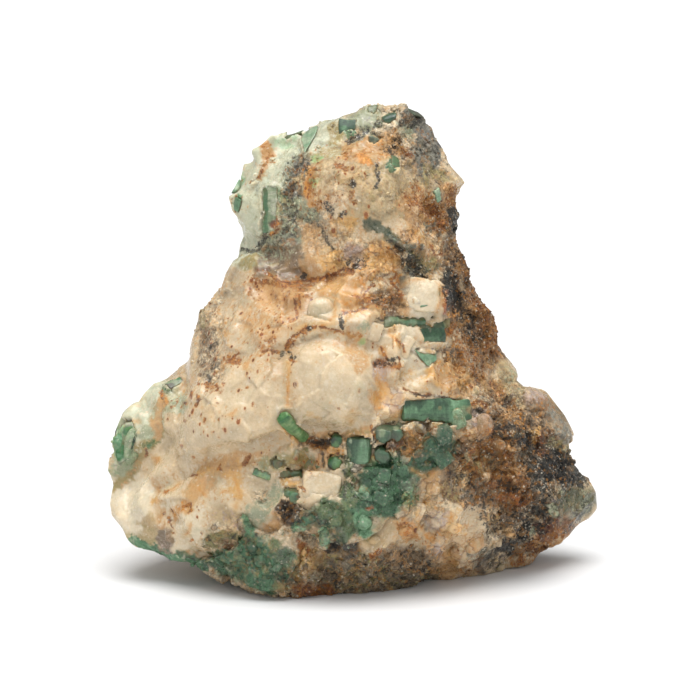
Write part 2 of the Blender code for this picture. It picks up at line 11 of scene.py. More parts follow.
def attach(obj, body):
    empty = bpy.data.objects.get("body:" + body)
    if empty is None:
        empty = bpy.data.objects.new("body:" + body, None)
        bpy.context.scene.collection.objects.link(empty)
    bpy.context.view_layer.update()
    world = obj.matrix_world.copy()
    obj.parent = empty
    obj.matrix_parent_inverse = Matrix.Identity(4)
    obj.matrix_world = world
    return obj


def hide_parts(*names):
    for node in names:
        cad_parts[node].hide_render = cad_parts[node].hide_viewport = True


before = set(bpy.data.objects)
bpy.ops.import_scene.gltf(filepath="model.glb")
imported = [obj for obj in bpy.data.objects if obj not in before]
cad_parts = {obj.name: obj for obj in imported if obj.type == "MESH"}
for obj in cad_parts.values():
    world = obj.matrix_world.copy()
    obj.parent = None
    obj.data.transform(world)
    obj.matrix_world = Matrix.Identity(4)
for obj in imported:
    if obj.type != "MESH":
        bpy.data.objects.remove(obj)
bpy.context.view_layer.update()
mm = 0.001

# ---- small helpers


def readMesh(mesh):  # the points in millimetres and the way each one faces
    count = len(mesh.vertices)
    places, facing = np.empty(count * 3, np.float32), np.empty(count * 3, np.float32)
    mesh.vertices.foreach_get("co", places)
    mesh.vertices.foreach_get("normal", facing)
    return places.reshape(-1, 3).astype(float) / mm, facing.reshape(-1, 3).astype(float)


def writePoints(mesh, places):
    mesh.vertices.foreach_set("co", (places * mm).astype(np.float32).ravel())
    mesh.update()


def ease(value):
    value = np.clip(value, 0, 1)
    return value * value * (3 - 2 * value)


def mix(first, second, share):
    return first + (second - first) * share


def roughField(places, size, octaves=3, drift=0.0):  # fractal noise, about -1 to 1, with lumps of this size in mm
    field = noise.fractal
    return np.array([field(Vector((x, y, z)), 0.8, 2.1, octaves) for x, y, z in places / size + drift])


def cellField(places, size, drift=0.0):  # for grains of this size: distance inside each, and a fixed random for each
    inside, chance = np.empty(len(places)), np.empty(len(places))
    for index, (x, y, z) in enumerate(places / size + drift):
        gaps, centres = noise.voronoi(Vector((x, y, z)))
        inside[index] = gaps[1] - gaps[0]
        chance[index] = noise.cell(centres[0] * 7.7)
    return inside, chance


def chipField(places, size, drift=0.0):  # flat chips of this size, each with its own height and tilt
    height = np.empty(len(places))
    for index, (x, y, z) in enumerate(places / size + drift):
        spot = Vector((x, y, z))
        nearest = noise.voronoi(spot)[1][0]
        tilt = noise.cell_vector(nearest * 7.3) - Vector((0.5, 0.5, 0.5))
        height[index] = noise.cell(nearest * 5.1) - 0.5 + 1.8 * tilt.dot(spot - nearest)
    return height


def newPiece(name, shape):
    mesh = bpy.data.meshes.new(name)
    shape.to_mesh(mesh)
    shape.free()
    piece = bpy.data.objects.new(name, mesh)
    bpy.context.scene.collection.objects.link(piece)
    return piece


def settle(piece):  # applies the piece's modifiers
    bpy.context.view_layer.update()
    graph = bpy.context.evaluated_depsgraph_get()
    shaped = bpy.data.meshes.new_from_object(piece.evaluated_get(graph))
    piece.modifiers.clear()
    piece.data = shaped
    piece.data.name = piece.name


def copyOf(nodes):  # a merged copy of some CAD nodes in one bmesh
    shape = bmesh.new()
    for node in nodes:
        shape.from_mesh(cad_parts[node].data)
    bmesh.ops.remove_doubles(shape, verts=shape.verts, dist=0.00001)
    return shape


def shaded(piece, smooth=True):
    piece.data.polygons.foreach_set("use_smooth", [smooth] * len(piece.data.polygons))


# ---- the photograph's view

photoView = {"target": (-0.38, -0.737, 28.2), "distance": 289, "elevation": 9, "lens": 120, "picture": 700}


def viewAxes():
    tip = math.radians(photoView["elevation"])
    ahead = np.array([0, math.cos(tip), -math.sin(tip)])
    up = np.array([0, math.sin(tip), math.cos(tip)])
    return ahead, up, np.array(photoView["target"]) - ahead * photoView["distance"]


def onPicture(places):  # where each point falls on the photograph, in its pixels
    ahead, up, eye = viewAxes()
    seen = places - eye
    far = seen @ ahead
    reach = photoView["lens"] / 36 * photoView["picture"] / far
    half = photoView["picture"] / 2
    return np.stack([half + seen[:, 0] * reach, half - (seen @ up) * reach], axis=1)


def placeCamera():
    ahead, up, eye = viewAxes()
    data = bpy.data.cameras.new("photoCamera")
    data.lens, data.sensor_width = photoView["lens"], 36
    data.clip_start, data.clip_end = 0.01, 60
    camera = bpy.data.objects.new("photoCamera", data)
    camera.location = Vector(eye) * mm
    camera.rotation_euler = (math.radians(90 - photoView["elevation"]), 0, 0)
    bpy.context.scene.collection.objects.link(camera)
    bpy.context.scene.camera = camera


studio = {"sky": 0.3, "floor": 0.72, "floorSize": 30}
lamps = {  # strength, how wide in degrees, and how it is turned
    "frontLight": (1.6, 120, (46, 0, 0)),
    "topLight": (3.3, 46, (10, 0, 0)),
}


def lightStudio():
    world = bpy.data.worlds.new("studioWhite")
    world.use_nodes = True
    background = world.node_tree.nodes["Background"]
    background.inputs["Color"].default_value = (1, 1, 1, 1)
    background.inputs["Strength"].default_value = studio["sky"]
    bpy.context.scene.world = world
    for name, (strength, width, turn) in lamps.items():
        data = bpy.data.lights.new(name, "SUN")
        data.energy, data.angle = strength, math.radians(width)
        lamp = bpy.data.objects.new(name, data)
        lamp.rotation_euler = tuple(math.radians(angle) for angle in turn)
        bpy.context.scene.collection.objects.link(lamp)
    shape = bmesh.new()
    bmesh.ops.create_grid(shape, x_segments=1, y_segments=1, size=studio["floorSize"])
    bmesh.ops.translate(shape, vec=(0, 0, -0.00002), verts=shape.verts)
    floor = newPiece("studio_floor", shape)
    finish = bpy.data.materials.new("floorPaper")
    finish.use_nodes = True
    surface = finish.node_tree.nodes["Principled BSDF"]
    surface.inputs["Base Color"].default_value = (studio["floor"],) * 3 + (1,)
    surface.inputs["Roughness"].default_value = 0.9
    surface.inputs["Specular IOR Level"].default_value = 0.1
    floor.data.materials.append(finish)
    bpy.context.scene.view_settings.view_transform = "Standard"


placeCamera()
lightStudio()
print("camera and studio ready")

# ---- colours, from 0 to 255

paints = {
    "slab": (206, 186, 154), "cream": (216, 196, 163), "ivory": (224, 209, 180), "milk": (228, 217, 196),
    "paleGreen": (202, 203, 176), "greyGreen": (164, 167, 138), "beige": (190, 167, 128), "tan": (200, 160, 112),
    "honey": (214, 170, 106), "orange": (208, 142, 64), "rust": (150, 84, 42), "redBrown": (104, 62, 46),
    "oliveTan": (166, 150, 104), "olive": (130, 124, 80), "greyBrown": (130, 112, 90), "brown": (110, 84, 60),
    "lilac": (182, 162, 150), "grey": (134, 131, 118), "greySchist": (104, 101, 86), "darkSchist": (64, 62, 54),
    "black": (34, 33, 32), "blueGrey": (112, 114, 112), "darkGreen": (44, 64, 46), "deep": (58, 92, 66),
    "sea": (76, 112, 80), "mid": (98, 140, 102), "mint": (134, 172, 134), "palest": (186, 204, 170),
    "vivid": (56, 122, 64), "spring": (104, 150, 88), "leaf": (150, 176, 118), "glass": (142, 160, 122),
    "moss": (104, 118, 78), "greenGrey": (94, 108, 84), "greenSchist": (98, 100, 78),
}
paper = 0.81  # how much of the studio's light a paint gives back


def light(name):  # a paint as scene light
    share = np.array(paints[name]) / 255
    return paper * np.where(share <= 0.04045, share / 12.92, ((share + 0.055) / 1.055) ** 2.4)


def strokeCover(where, path, radius, edge, eased=True):  # how fully a stroke covers each place on the picture
    marks = np.array(path, float).reshape(-1, 2)
    reach = radius * (1 + edge)
    near = np.flatnonzero(((where > marks.min(axis=0) - reach) & (where < marks.max(axis=0) + reach)).all(axis=1))
    if len(marks) == 1:
        away = np.linalg.norm(where[near] - marks[0], axis=1)
    else:
        run = marks[1:] - marks[:-1]
        offset = where[near][:, None] - marks[None, :-1]
        along = np.clip((offset * run).sum(axis=2) / np.maximum((run ** 2).sum(axis=1), 1e-6), 0, 1)
        away = np.linalg.norm(offset - along[..., None] * run, axis=2).min(axis=1)
    cover = (reach - away) / (2 * edge * radius)
    return near, ease(cover) if eased else np.clip(cover, 0, 1)


# Broad colours of the stone as strokes on the photograph: ground, what is mixed into it and how much, radius, points.
zonePaint = {
    "head": [
        ("paleGreen", "ivory", 0.3, 30, (243, 235), (246, 190), (270, 155), (320, 132)),
        ("paleGreen", "greyGreen", 0.35, 15, (262, 205), (285, 172), (300, 152), (330, 140)),
        ("beige", "oliveTan", 0.4, 30, (325, 180), (365, 175), (405, 190)), ("oliveTan", "paleGreen", 0.5, 8, (335, 130), (336, 146), (322, 154)),
        ("beige", "greyGreen", 0.2, 8, (325, 163), (327, 188)), ("beige", "oliveTan", 0.35, 14, (385, 186), (415, 190), (350, 210), (395, 208)),
        ("greyGreen", "grey", 0.4, 11, (358, 118), (375, 118), (372, 126)), ("greyGreen", "paleGreen", 0.3, 8, (392, 128), (410, 128)),
        ("grey", "darkSchist", 0.4, 8, (408, 117), (420, 122)), ("grey", "blueGrey", 0.5, 12, (425, 133), (433, 145)),
        ("grey", "greySchist", 0.45, 12, (420, 155), (432, 160), (425, 168)), ("cream", "beige", 0.3, 4, (443, 152), (451, 163)),
        ("cream", "ivory", 0.4, 4, (372, 131), (385, 132), (396, 127)), ("cream", "ivory", 0.4, 3, (384, 119), (386, 125)),
        ("cream", "ivory", 0.4, 5, (396, 113), (402, 108)), ("beige", "lilac", 0.3, 7, (403, 165), (410, 172)),
        ("oliveTan", "beige", 0.4, 7, (441, 172), (447, 180)), ("oliveTan", "grey", 0.3, 7, (427, 178), (431, 170)),
        ("tan", "orange", 0.4, 12, (352, 150), (378, 150), (392, 144)), ("orange", "tan", 0.4, 5, (364, 155), (366, 162)),
        ("tan", "orange", 0.6, 6, (309, 172), (311, 190), (312, 204)), ("tan", "orange", 0.5, 6, (265, 146), (267, 152), (264, 160)),
        ("beige", "tan", 0.4, 3, (262, 168), (258, 177)), ("palest", "mint", 0.35, 4, (278, 144), (291, 142)),
        ("palest", "mid", 0.4, 3, (297, 133), (289, 133)), ("palest", "mint", 0.5, 4, (240, 177), (238, 185)), ("mid", "mint", 0.5, 3, (241, 196), (237, 206)),
        ("mid", "mint", 0.4, 3, (231, 186), (234, 177)), ("grey", "greySchist", 0.5, 6, (302, 160), (297, 172)), ("leaf", "oliveTan", 0.4, 4, (314, 158), (318, 156)),
        ("grey", "greySchist", 0.4, 6, (292, 187), (286, 198), (296, 196)), ("greyGreen", "ivory", 0.4, 9, (282, 207), (300, 210)),
        ("cream", "tan", 0.4, 9, (338, 202), (335, 190), (328, 208)), ("cream", "honey", 0.4, 6, (460, 173), (461, 190)), ("leaf", "oliveTan", 0.4, 4, (314, 182)),
        ("tan", "redBrown", 0.5, 9, (436, 208), (446, 211)), ("tan", "brown", 0.5, 8, (448, 188), (443, 196)), ("honey", "orange", 0.4, 5, (452, 194), (455, 202)),
        ("tan", "oliveTan", 0.35, 10, (405, 205), (420, 205), (412, 214)), ("glass", "paleGreen", 0.4, 8, (277, 195), (276, 208)),
    ],
    "waist": [
        ("greyGreen", "greySchist", 0.5, 13, (282, 228), (292, 240)), ("greyGreen", "greySchist", 0.4, 7, (284, 220), (298, 216), (314, 216)),
        ("greyGreen", "grey", 0.45, 6, (268, 240), (272, 228)), ("oliveTan", "greyGreen", 0.45, 7, (246, 262), (262, 256), (285, 251)),
        ("greyBrown", "redBrown", 0.35, 9, (262, 270), (292, 274)), ("greyBrown", "lilac", 0.45, 5, (280, 264), (292, 266)), ("greyBrown", "redBrown", 0.35, 7, (290, 286), (301, 284)),
        ("greyBrown", "brown", 0.4, 10, (290, 248), (302, 262)), ("greyBrown", "greyGreen", 0.5, 8, (262, 252), (286, 252)), ("tan", "cream", 0.35, 11, (312, 236), (318, 262), (306, 268)),
        ("cream", "tan", 0.35, 11, (345, 228), (352, 240)), ("honey", "cream", 0.4, 9, (330, 252), (340, 260), (325, 262)),
        ("honey", "tan", 0.3, 6, (352, 223), (340, 222)), ("cream", "ivory", 0.3, 6, (350, 240)), ("lilac", "grey", 0.4, 8, (358, 257), (350, 252)),
        ("tan", "orange", 0.3, 13, (345, 286), (345, 300), (330, 290)), ("slab", "cream", 0.4, 10, (318, 307), (325, 315), (330, 303)), ("slab", "tan", 0.5, 8, (285, 318), (312, 320)),
        ("tan", "orange", 0.5, 17, (380, 255), (372, 275), (390, 272)), ("honey", "cream", 0.5, 8, (376, 260), (384, 268)),
        ("cream", "tan", 0.45, 10, (395, 278), (374, 290)), ("tan", "honey", 0.45, 9, (392, 262), (378, 246)), ("brown", "tan", 0.5, 10, (378, 305), (392, 306)),
        ("brown", "black", 0.4, 6, (398, 296)), ("greySchist", "olive", 0.4, 9, (416, 254), (414, 268), (405, 281)), ("olive", "greySchist", 0.4, 7, (427, 262), (436, 266)),
        ("tan", "brown", 0.5, 8, (408, 232), (425, 240), (440, 240)), ("cream", "tan", 0.5, 5, (424, 232), (436, 244)), ("tan", "redBrown", 0.4, 8, (425, 222), (413, 216)),
        ("greySchist", "greenGrey", 0.5, 7, (435, 224), (445, 226)), ("darkSchist", "black", 0.5, 7, (455, 214), (457, 226)),
        ("brown", "tan", 0.5, 7, (450, 236), (452, 250)), ("tan", "lilac", 0.4, 6, (446, 262)), ("ivory", "milk", 0.4, 17, (422, 292), (424, 302)),
        ("cream", "tan", 0.3, 5, (435, 274), (438, 284)), ("tan", "cream", 0.4, 7, (404, 312), (408, 304)),
        ("greenSchist", "darkGreen", 0.5, 5, (368, 223), (384, 231), (400, 243), (412, 252)),
    ],
    "slab": [
        ("slab", "tan", 0.45, 36, (225, 320), (232, 375), (200, 400)), ("tan", "slab", 0.5, 20, (275, 298), (262, 322), (290, 308)),
        ("cream", "slab", 0.4, 36, (250, 405), (185, 435)), ("cream", "slab", 0.35, 38, (330, 375), (332, 403)), ("cream", "ivory", 0.4, 16, (352, 392), (318, 372)),
        ("slab", "tan", 0.45, 8, (300, 338), (340, 337), (355, 343)), ("tan", "slab", 0.4, 9, (352, 352), (362, 362)), ("slab", "oliveTan", 0.3, 9, (300, 425), (330, 428)),
        ("greyBrown", "slab", 0.55, 9, (205, 335), (207, 355), (205, 370)), ("oliveTan", "slab", 0.5, 7, (196, 300), (201, 320)),
        ("cream", "ivory", 0.3, 10, (374, 322), (385, 336)), ("ivory", "cream", 0.3, 9, (405, 333), (398, 346)), ("leaf", "slab", 0.5, 4, (363, 341)),
        ("ivory", "honey", 0.2, 13, (405, 358), (421, 365)), ("cream", "honey", 0.4, 11, (412, 378), (426, 386)), ("greyGreen", "slab", 0.4, 6, (364, 328)),
        ("lilac", "tan", 0.45, 8, (384, 367), (379, 376)), ("tan", "brown", 0.4, 5, (383, 352)), ("tan", "orange", 0.45, 8, (380, 390), (378, 403)),
        ("lilac", "cream", 0.45, 8, (395, 395), (391, 403)), ("cream", "tan", 0.45, 7, (385, 414), (378, 419)), ("tan", "oliveTan", 0.4, 6, (318, 434), (350, 437), (366, 430)),
        ("paleGreen", "ivory", 0.4, 20, (150, 398), (130, 425)), ("oliveTan", "paleGreen", 0.55, 7, (160, 405), (158, 428), (142, 452)),
        ("tan", "cream", 0.5, 8, (190, 468), (230, 462), (262, 458)), ("tan", "orange", 0.5, 12, (452, 378), (462, 388)), ("honey", "cream", 0.5, 8, (434, 374), (444, 384)), ("brown", "orange", 0.45, 8, (452, 352), (462, 362)), ("tan", "honey", 0.5, 6, (440, 335), (447, 322)),
    ],
    "foot": [
        ("ivory", "cream", 0.45, 32, (130, 500), (175, 510)), ("cream", "tan", 0.35, 20, (160, 475), (215, 490), (240, 505)),
        ("tan", "cream", 0.5, 10, (150, 490), (158, 525)), ("oliveTan", "beige", 0.5, 9, (125, 532), (150, 538)),
        ("cream", "slab", 0.4, 14, (262, 482), (262, 496)), ("honey", "cream", 0.5, 8, (233, 474), (236, 492)), ("greyGreen", "cream", 0.5, 7, (275, 490), (270, 500)),
        ("greyGreen", "cream", 0.4, 9, (262, 508), (254, 518)), ("oliveTan", "greyGreen", 0.5, 8, (268, 463), (290, 460)), ("honey", "ivory", 0.45, 9, (288, 486)),
        ("cream", "ivory", 0.5, 20, (322, 487)), ("tan", "cream", 0.45, 8, (306, 466), (318, 462)), ("brown", "rust", 0.4, 5, (310, 442), (328, 444)),
        ("tan", "orange", 0.45, 6, (318, 453), (337, 454)), ("brown", "darkSchist", 0.5, 11, (287, 512), (297, 519)), ("tan", "lilac", 0.4, 6, (277, 519), (272, 526)),
        ("olive", "greenGrey", 0.5, 7, (300, 455), (305, 462)), ("tan", "orange", 0.4, 10, (410, 437), (413, 450), (395, 441)), ("brown", "rust", 0.4, 5, (388, 446), (400, 440)),
        ("tan", "orange", 0.5, 4, (373, 459), (373, 466)), ("tan", "honey", 0.4, 9, (430, 478), (438, 486)), ("cream", "tan", 0.4, 7, (428, 497), (424, 505)),
        ("ivory", "cream", 0.4, 7, (418, 508), (415, 518)), ("beige", "tan", 0.4, 8, (391, 521), (383, 531)), ("tan", "orange", 0.5, 9, (403, 525), (411, 532)),
        ("cream", "honey", 0.3, 5, (422, 522), (424, 528)), ("lilac", "cream", 0.45, 9, (436, 519), (446, 525)), ("cream", "honey", 0.5, 9, (456, 518), (450, 535)),
        ("tan", "cream", 0.45, 16, (450, 548), (470, 552)), ("honey", "tan", 0.5, 8, (456, 556), (478, 556)), ("brown", "tan", 0.5, 8, (450, 494), (466, 502)), ("tan", "orange", 0.5, 6, (430, 537), (441, 540)), ("lilac", "tan", 0.4, 7, (438, 552)),
        ("greyBrown", "olive", 0.5, 23, (330, 577), (380, 574), (420, 578)), ("greyBrown", "tan", 0.35, 12, (395, 556), (425, 560)), ("beige", "greyGreen", 0.3, 8, (374, 538)),
        ("cream", "oliveTan", 0.4, 4, (368, 551)), ("darkSchist", "black", 0.5, 9, (336, 548), (352, 551)), ("rust", "brown", 0.4, 6, (304, 546)),
        ("tan", "olive", 0.5, 7, (313, 555), (300, 563)), ("tan", "cream", 0.5, 6, (240, 534), (240, 544)), ("cream", "tan", 0.5, 5, (238, 527), (246, 536)),
        ("beige", "lilac", 0.4, 6, (284, 588), (290, 592)), ("redBrown", "brown", 0.5, 9, (300, 592), (330, 596)), ("greenGrey", "olive", 0.5, 16, (285, 575), (262, 560)),
    ],
    "band": [
        ("sea", "deep", 0.45, 17, (375, 478), (400, 470)), ("sea", "deep", 0.4, 16, (360, 505), (385, 500), (405, 482)),
        ("deep", "greenGrey", 0.45, 12, (430, 443), (437, 452), (428, 462)), ("deep", "sea", 0.4, 10, (410, 468), (425, 468)), ("greenGrey", "mint", 0.45, 5, (413, 482), (404, 488)),
        ("mid", "oliveTan", 0.4, 7, (408, 498), (412, 503)), ("moss", "sea", 0.45, 12, (335, 512), (345, 525), (325, 511)), ("moss", "deep", 0.4, 8, (347, 488), (350, 500)),
        ("mid", "mint", 0.4, 9, (362, 519), (366, 530)), ("mint", "oliveTan", 0.3, 5, (363, 491)), ("darkGreen", "greySchist", 0.5, 4, (386, 486)),
        ("mint", "greyGreen", 0.35, 6, (321, 530), (324, 542)), ("deep", "sea", 0.4, 8, (308, 517)), ("mint", "greyGreen", 0.4, 5, (298, 527)), ("rust", "sea", 0.3, 3, (368, 509)),
        ("deep", "darkGreen", 0.4, 5, (316, 522), (324, 523)), ("greenGrey", "moss", 0.45, 8, (338, 535)), ("moss", "greyGreen", 0.4, 7, (350, 462), (348, 470)),
        ("sea", "deep", 0.45, 13, (222, 560), (248, 572), (268, 580)), ("sea", "deep", 0.45, 15, (250, 545), (262, 570)), ("greenGrey", "sea", 0.45, 11, (285, 560), (286, 574)),
        ("deep", "darkGreen", 0.4, 7, (252, 547)), ("moss", "olive", 0.5, 6, (276, 545)), ("mid", "sea", 0.4, 6, (252, 532), (243, 520)),
    ],
    "right": [
        ("brown", "tan", 0.45, 18, (468, 262), (478, 320), (490, 350)), ("brown", "orange", 0.4, 10, (462, 268), (466, 280)), ("darkSchist", "black", 0.6, 9, (452, 280), (457, 300)),
        ("brown", "orange", 0.45, 8, (447, 328), (456, 308)), ("rust", "tan", 0.45, 5, (446, 293), (446, 306)),
        ("greyBrown", "brown", 0.5, 30, (500, 420), (540, 425)), ("brown", "tan", 0.4, 30, (470, 465), (510, 480)),
        ("tan", "orange", 0.4, 13, (448, 372), (456, 386)), ("brown", "tan", 0.5, 8, (476, 372), (486, 384)), ("tan", "rust", 0.5, 5, (496, 384), (498, 402)),
        ("beige", "greyBrown", 0.3, 5, (476, 390)), ("greyBrown", "beige", 0.3, 4, (461, 393)), ("beige", "lilac", 0.3, 4, (486, 393)), ("tan", "orange", 0.5, 4, (474, 403), (486, 404)),
        ("beige", "greyGreen", 0.5, 8, (504, 366), (511, 386), (513, 396)), ("beige", "greyGreen", 0.45, 6, (517, 376), (520, 392), (522, 402)),
        ("lilac", "beige", 0.4, 7, (530, 396), (540, 400)), ("greyBrown", "tan", 0.4, 9, (536, 410), (546, 422)), ("grey", "greyBrown", 0.4, 6, (554, 410), (562, 425), (566, 438)),
        ("lilac", "greyBrown", 0.45, 10, (480, 416), (484, 430)), ("black", "darkSchist", 0.4, 8, (502, 424), (508, 440), (526, 444)), ("olive", "darkSchist", 0.5, 4, (506, 434), (520, 434)),
        ("tan", "brown", 0.5, 5, (508, 412), (520, 414)), ("orange", "brown", 0.5, 3, (521, 410), (522, 424)), ("honey", "tan", 0.5, 5, (535, 432), (539, 438)), ("brown", "rust", 0.5, 6, (545, 436), (543, 450)),
        ("oliveTan", "greySchist", 0.5, 8, (558, 446), (566, 452)), ("tan", "rust", 0.5, 6, (514, 444), (518, 456)), ("greySchist", "brown", 0.4, 8, (524, 456), (528, 466)),
        ("brown", "darkSchist", 0.5, 7, (460, 446), (464, 455)), ("deep", "darkGreen", 0.4, 8, (445, 432), (448, 442), (440, 458)), ("oliveTan", "tan", 0.5, 9, (474, 460), (484, 464)), ("beige", "tan", 0.5, 9, (462, 472), (464, 484)), ("cream", "lilac", 0.4, 5, (486, 476)),
        ("brown", "darkSchist", 0.4, 6, (496, 468), (503, 473)), ("tan", "cream", 0.5, 5, (512, 474), (524, 472)), ("black", "darkSchist", 0.4, 6, (500, 486), (509, 484)), ("greySchist", "grey", 0.5, 6, (480, 483), (497, 493)),
        # On this line, and at (536-542, 466-482) and (474-486, 556) below, the milk mixed into dark schist stands in
        # for small white glints, a painted highlight.
        ("brown", "oliveTan", 0.5, 8, (446, 488), (456, 498)), ("greySchist", "milk", 0.35, 6, (474, 496)), ("rust", "tan", 0.45, 9, (508, 500), (524, 502)), ("brown", "darkSchist", 0.5, 8, (520, 488), (532, 494)),
        ("darkSchist", "milk", 0.3, 12, (536, 466), (542, 482)), ("black", "darkSchist", 0.35, 15, (556, 464), (572, 478)), ("darkSchist", "greySchist", 0.4, 10, (543, 500), (540, 512)),
        ("greenSchist", "greyGreen", 0.35, 16, (582, 498), (566, 508)), ("grey", "lilac", 0.5, 5, (556, 502)), ("greyGreen", "grey", 0.3, 5, (554, 514)), ("grey", "greyGreen", 0.4, 4, (564, 522), (576, 514)),
        ("redBrown", "darkSchist", 0.5, 9, (545, 528), (564, 527)), ("redBrown", "tan", 0.35, 8, (534, 548), (552, 540)), ("greyGreen", "greySchist", 0.4, 6, (534, 532)), ("black", "darkSchist", 0.5, 7, (526, 526), (522, 536)),
        ("greyBrown", "darkSchist", 0.5, 10, (508, 520), (512, 512)), ("tan", "beige", 0.4, 5, (510, 534)), ("darkSchist", "blueGrey", 0.5, 9, (508, 548), (520, 552)), ("greySchist", "milk", 0.3, 7, (474, 556), (486, 556)),
        ("darkSchist", "blueGrey", 0.4, 7, (482, 567), (492, 560)), ("tan", "oliveTan", 0.4, 6, (490, 516), (494, 522)), ("cream", "lilac", 0.4, 7, (496, 536)), ("beige", "lilac", 0.4, 7, (500, 564)),
        ("tan", "brown", 0.45, 8, (445, 572), (465, 568)), ("tan", "orange", 0.4, 4, (540, 546)),
    ],
    "lobe": [
        ("ivory", "milk", 0.4, 24, (128, 490), (134, 512)), ("slab", "cream", 0.4, 16, (172, 450), (200, 444)), ("tan", "beige", 0.4, 5, (160, 402), (157, 428), (150, 442)),
        ("oliveTan", "tan", 0.4, 5, (146, 455), (134, 466), (116, 486)), ("greyGreen", "paleGreen", 0.4, 7, (146, 433)), ("greyGreen", "paleGreen", 0.5, 9, (174, 394), (176, 404)),
        ("moss", "oliveTan", 0.4, 4, (148, 445), (153, 442)), ("glass", "mint", 0.45, 9, (122, 430), (124, 458)), ("mid", "glass", 0.45, 5, (116, 440), (118, 454)), ("greyGreen", "glass", 0.4, 7, (117, 470), (124, 464)),
        ("tan", "honey", 0.5, 8, (204, 474), (236, 466)), ("tan", "beige", 0.4, 9, (192, 492), (208, 484)), ("tan", "orange", 0.4, 8, (184, 506), (178, 514)), ("honey", "tan", 0.4, 5, (155, 499)),
        ("beige", "oliveTan", 0.4, 8, (146, 522), (150, 532)), ("greyBrown", "lilac", 0.4, 7, (163, 538), (166, 545)), ("ivory", "cream", 0.4, 9, (184, 522), (180, 546), (196, 532)),
        ("sea", "greenGrey", 0.4, 4, (134, 540), (150, 549), (176, 558), (206, 563)), ("darkSchist", "olive", 0.4, 3, (168, 560), (194, 563)),
        ("olive", "darkSchist", 0.5, 6, (210, 541), (222, 538), (230, 537)), ("brown", "olive", 0.45, 5, (224, 545)), ("beige", "lilac", 0.4, 10, (222, 518), (234, 522)),
    ],
}

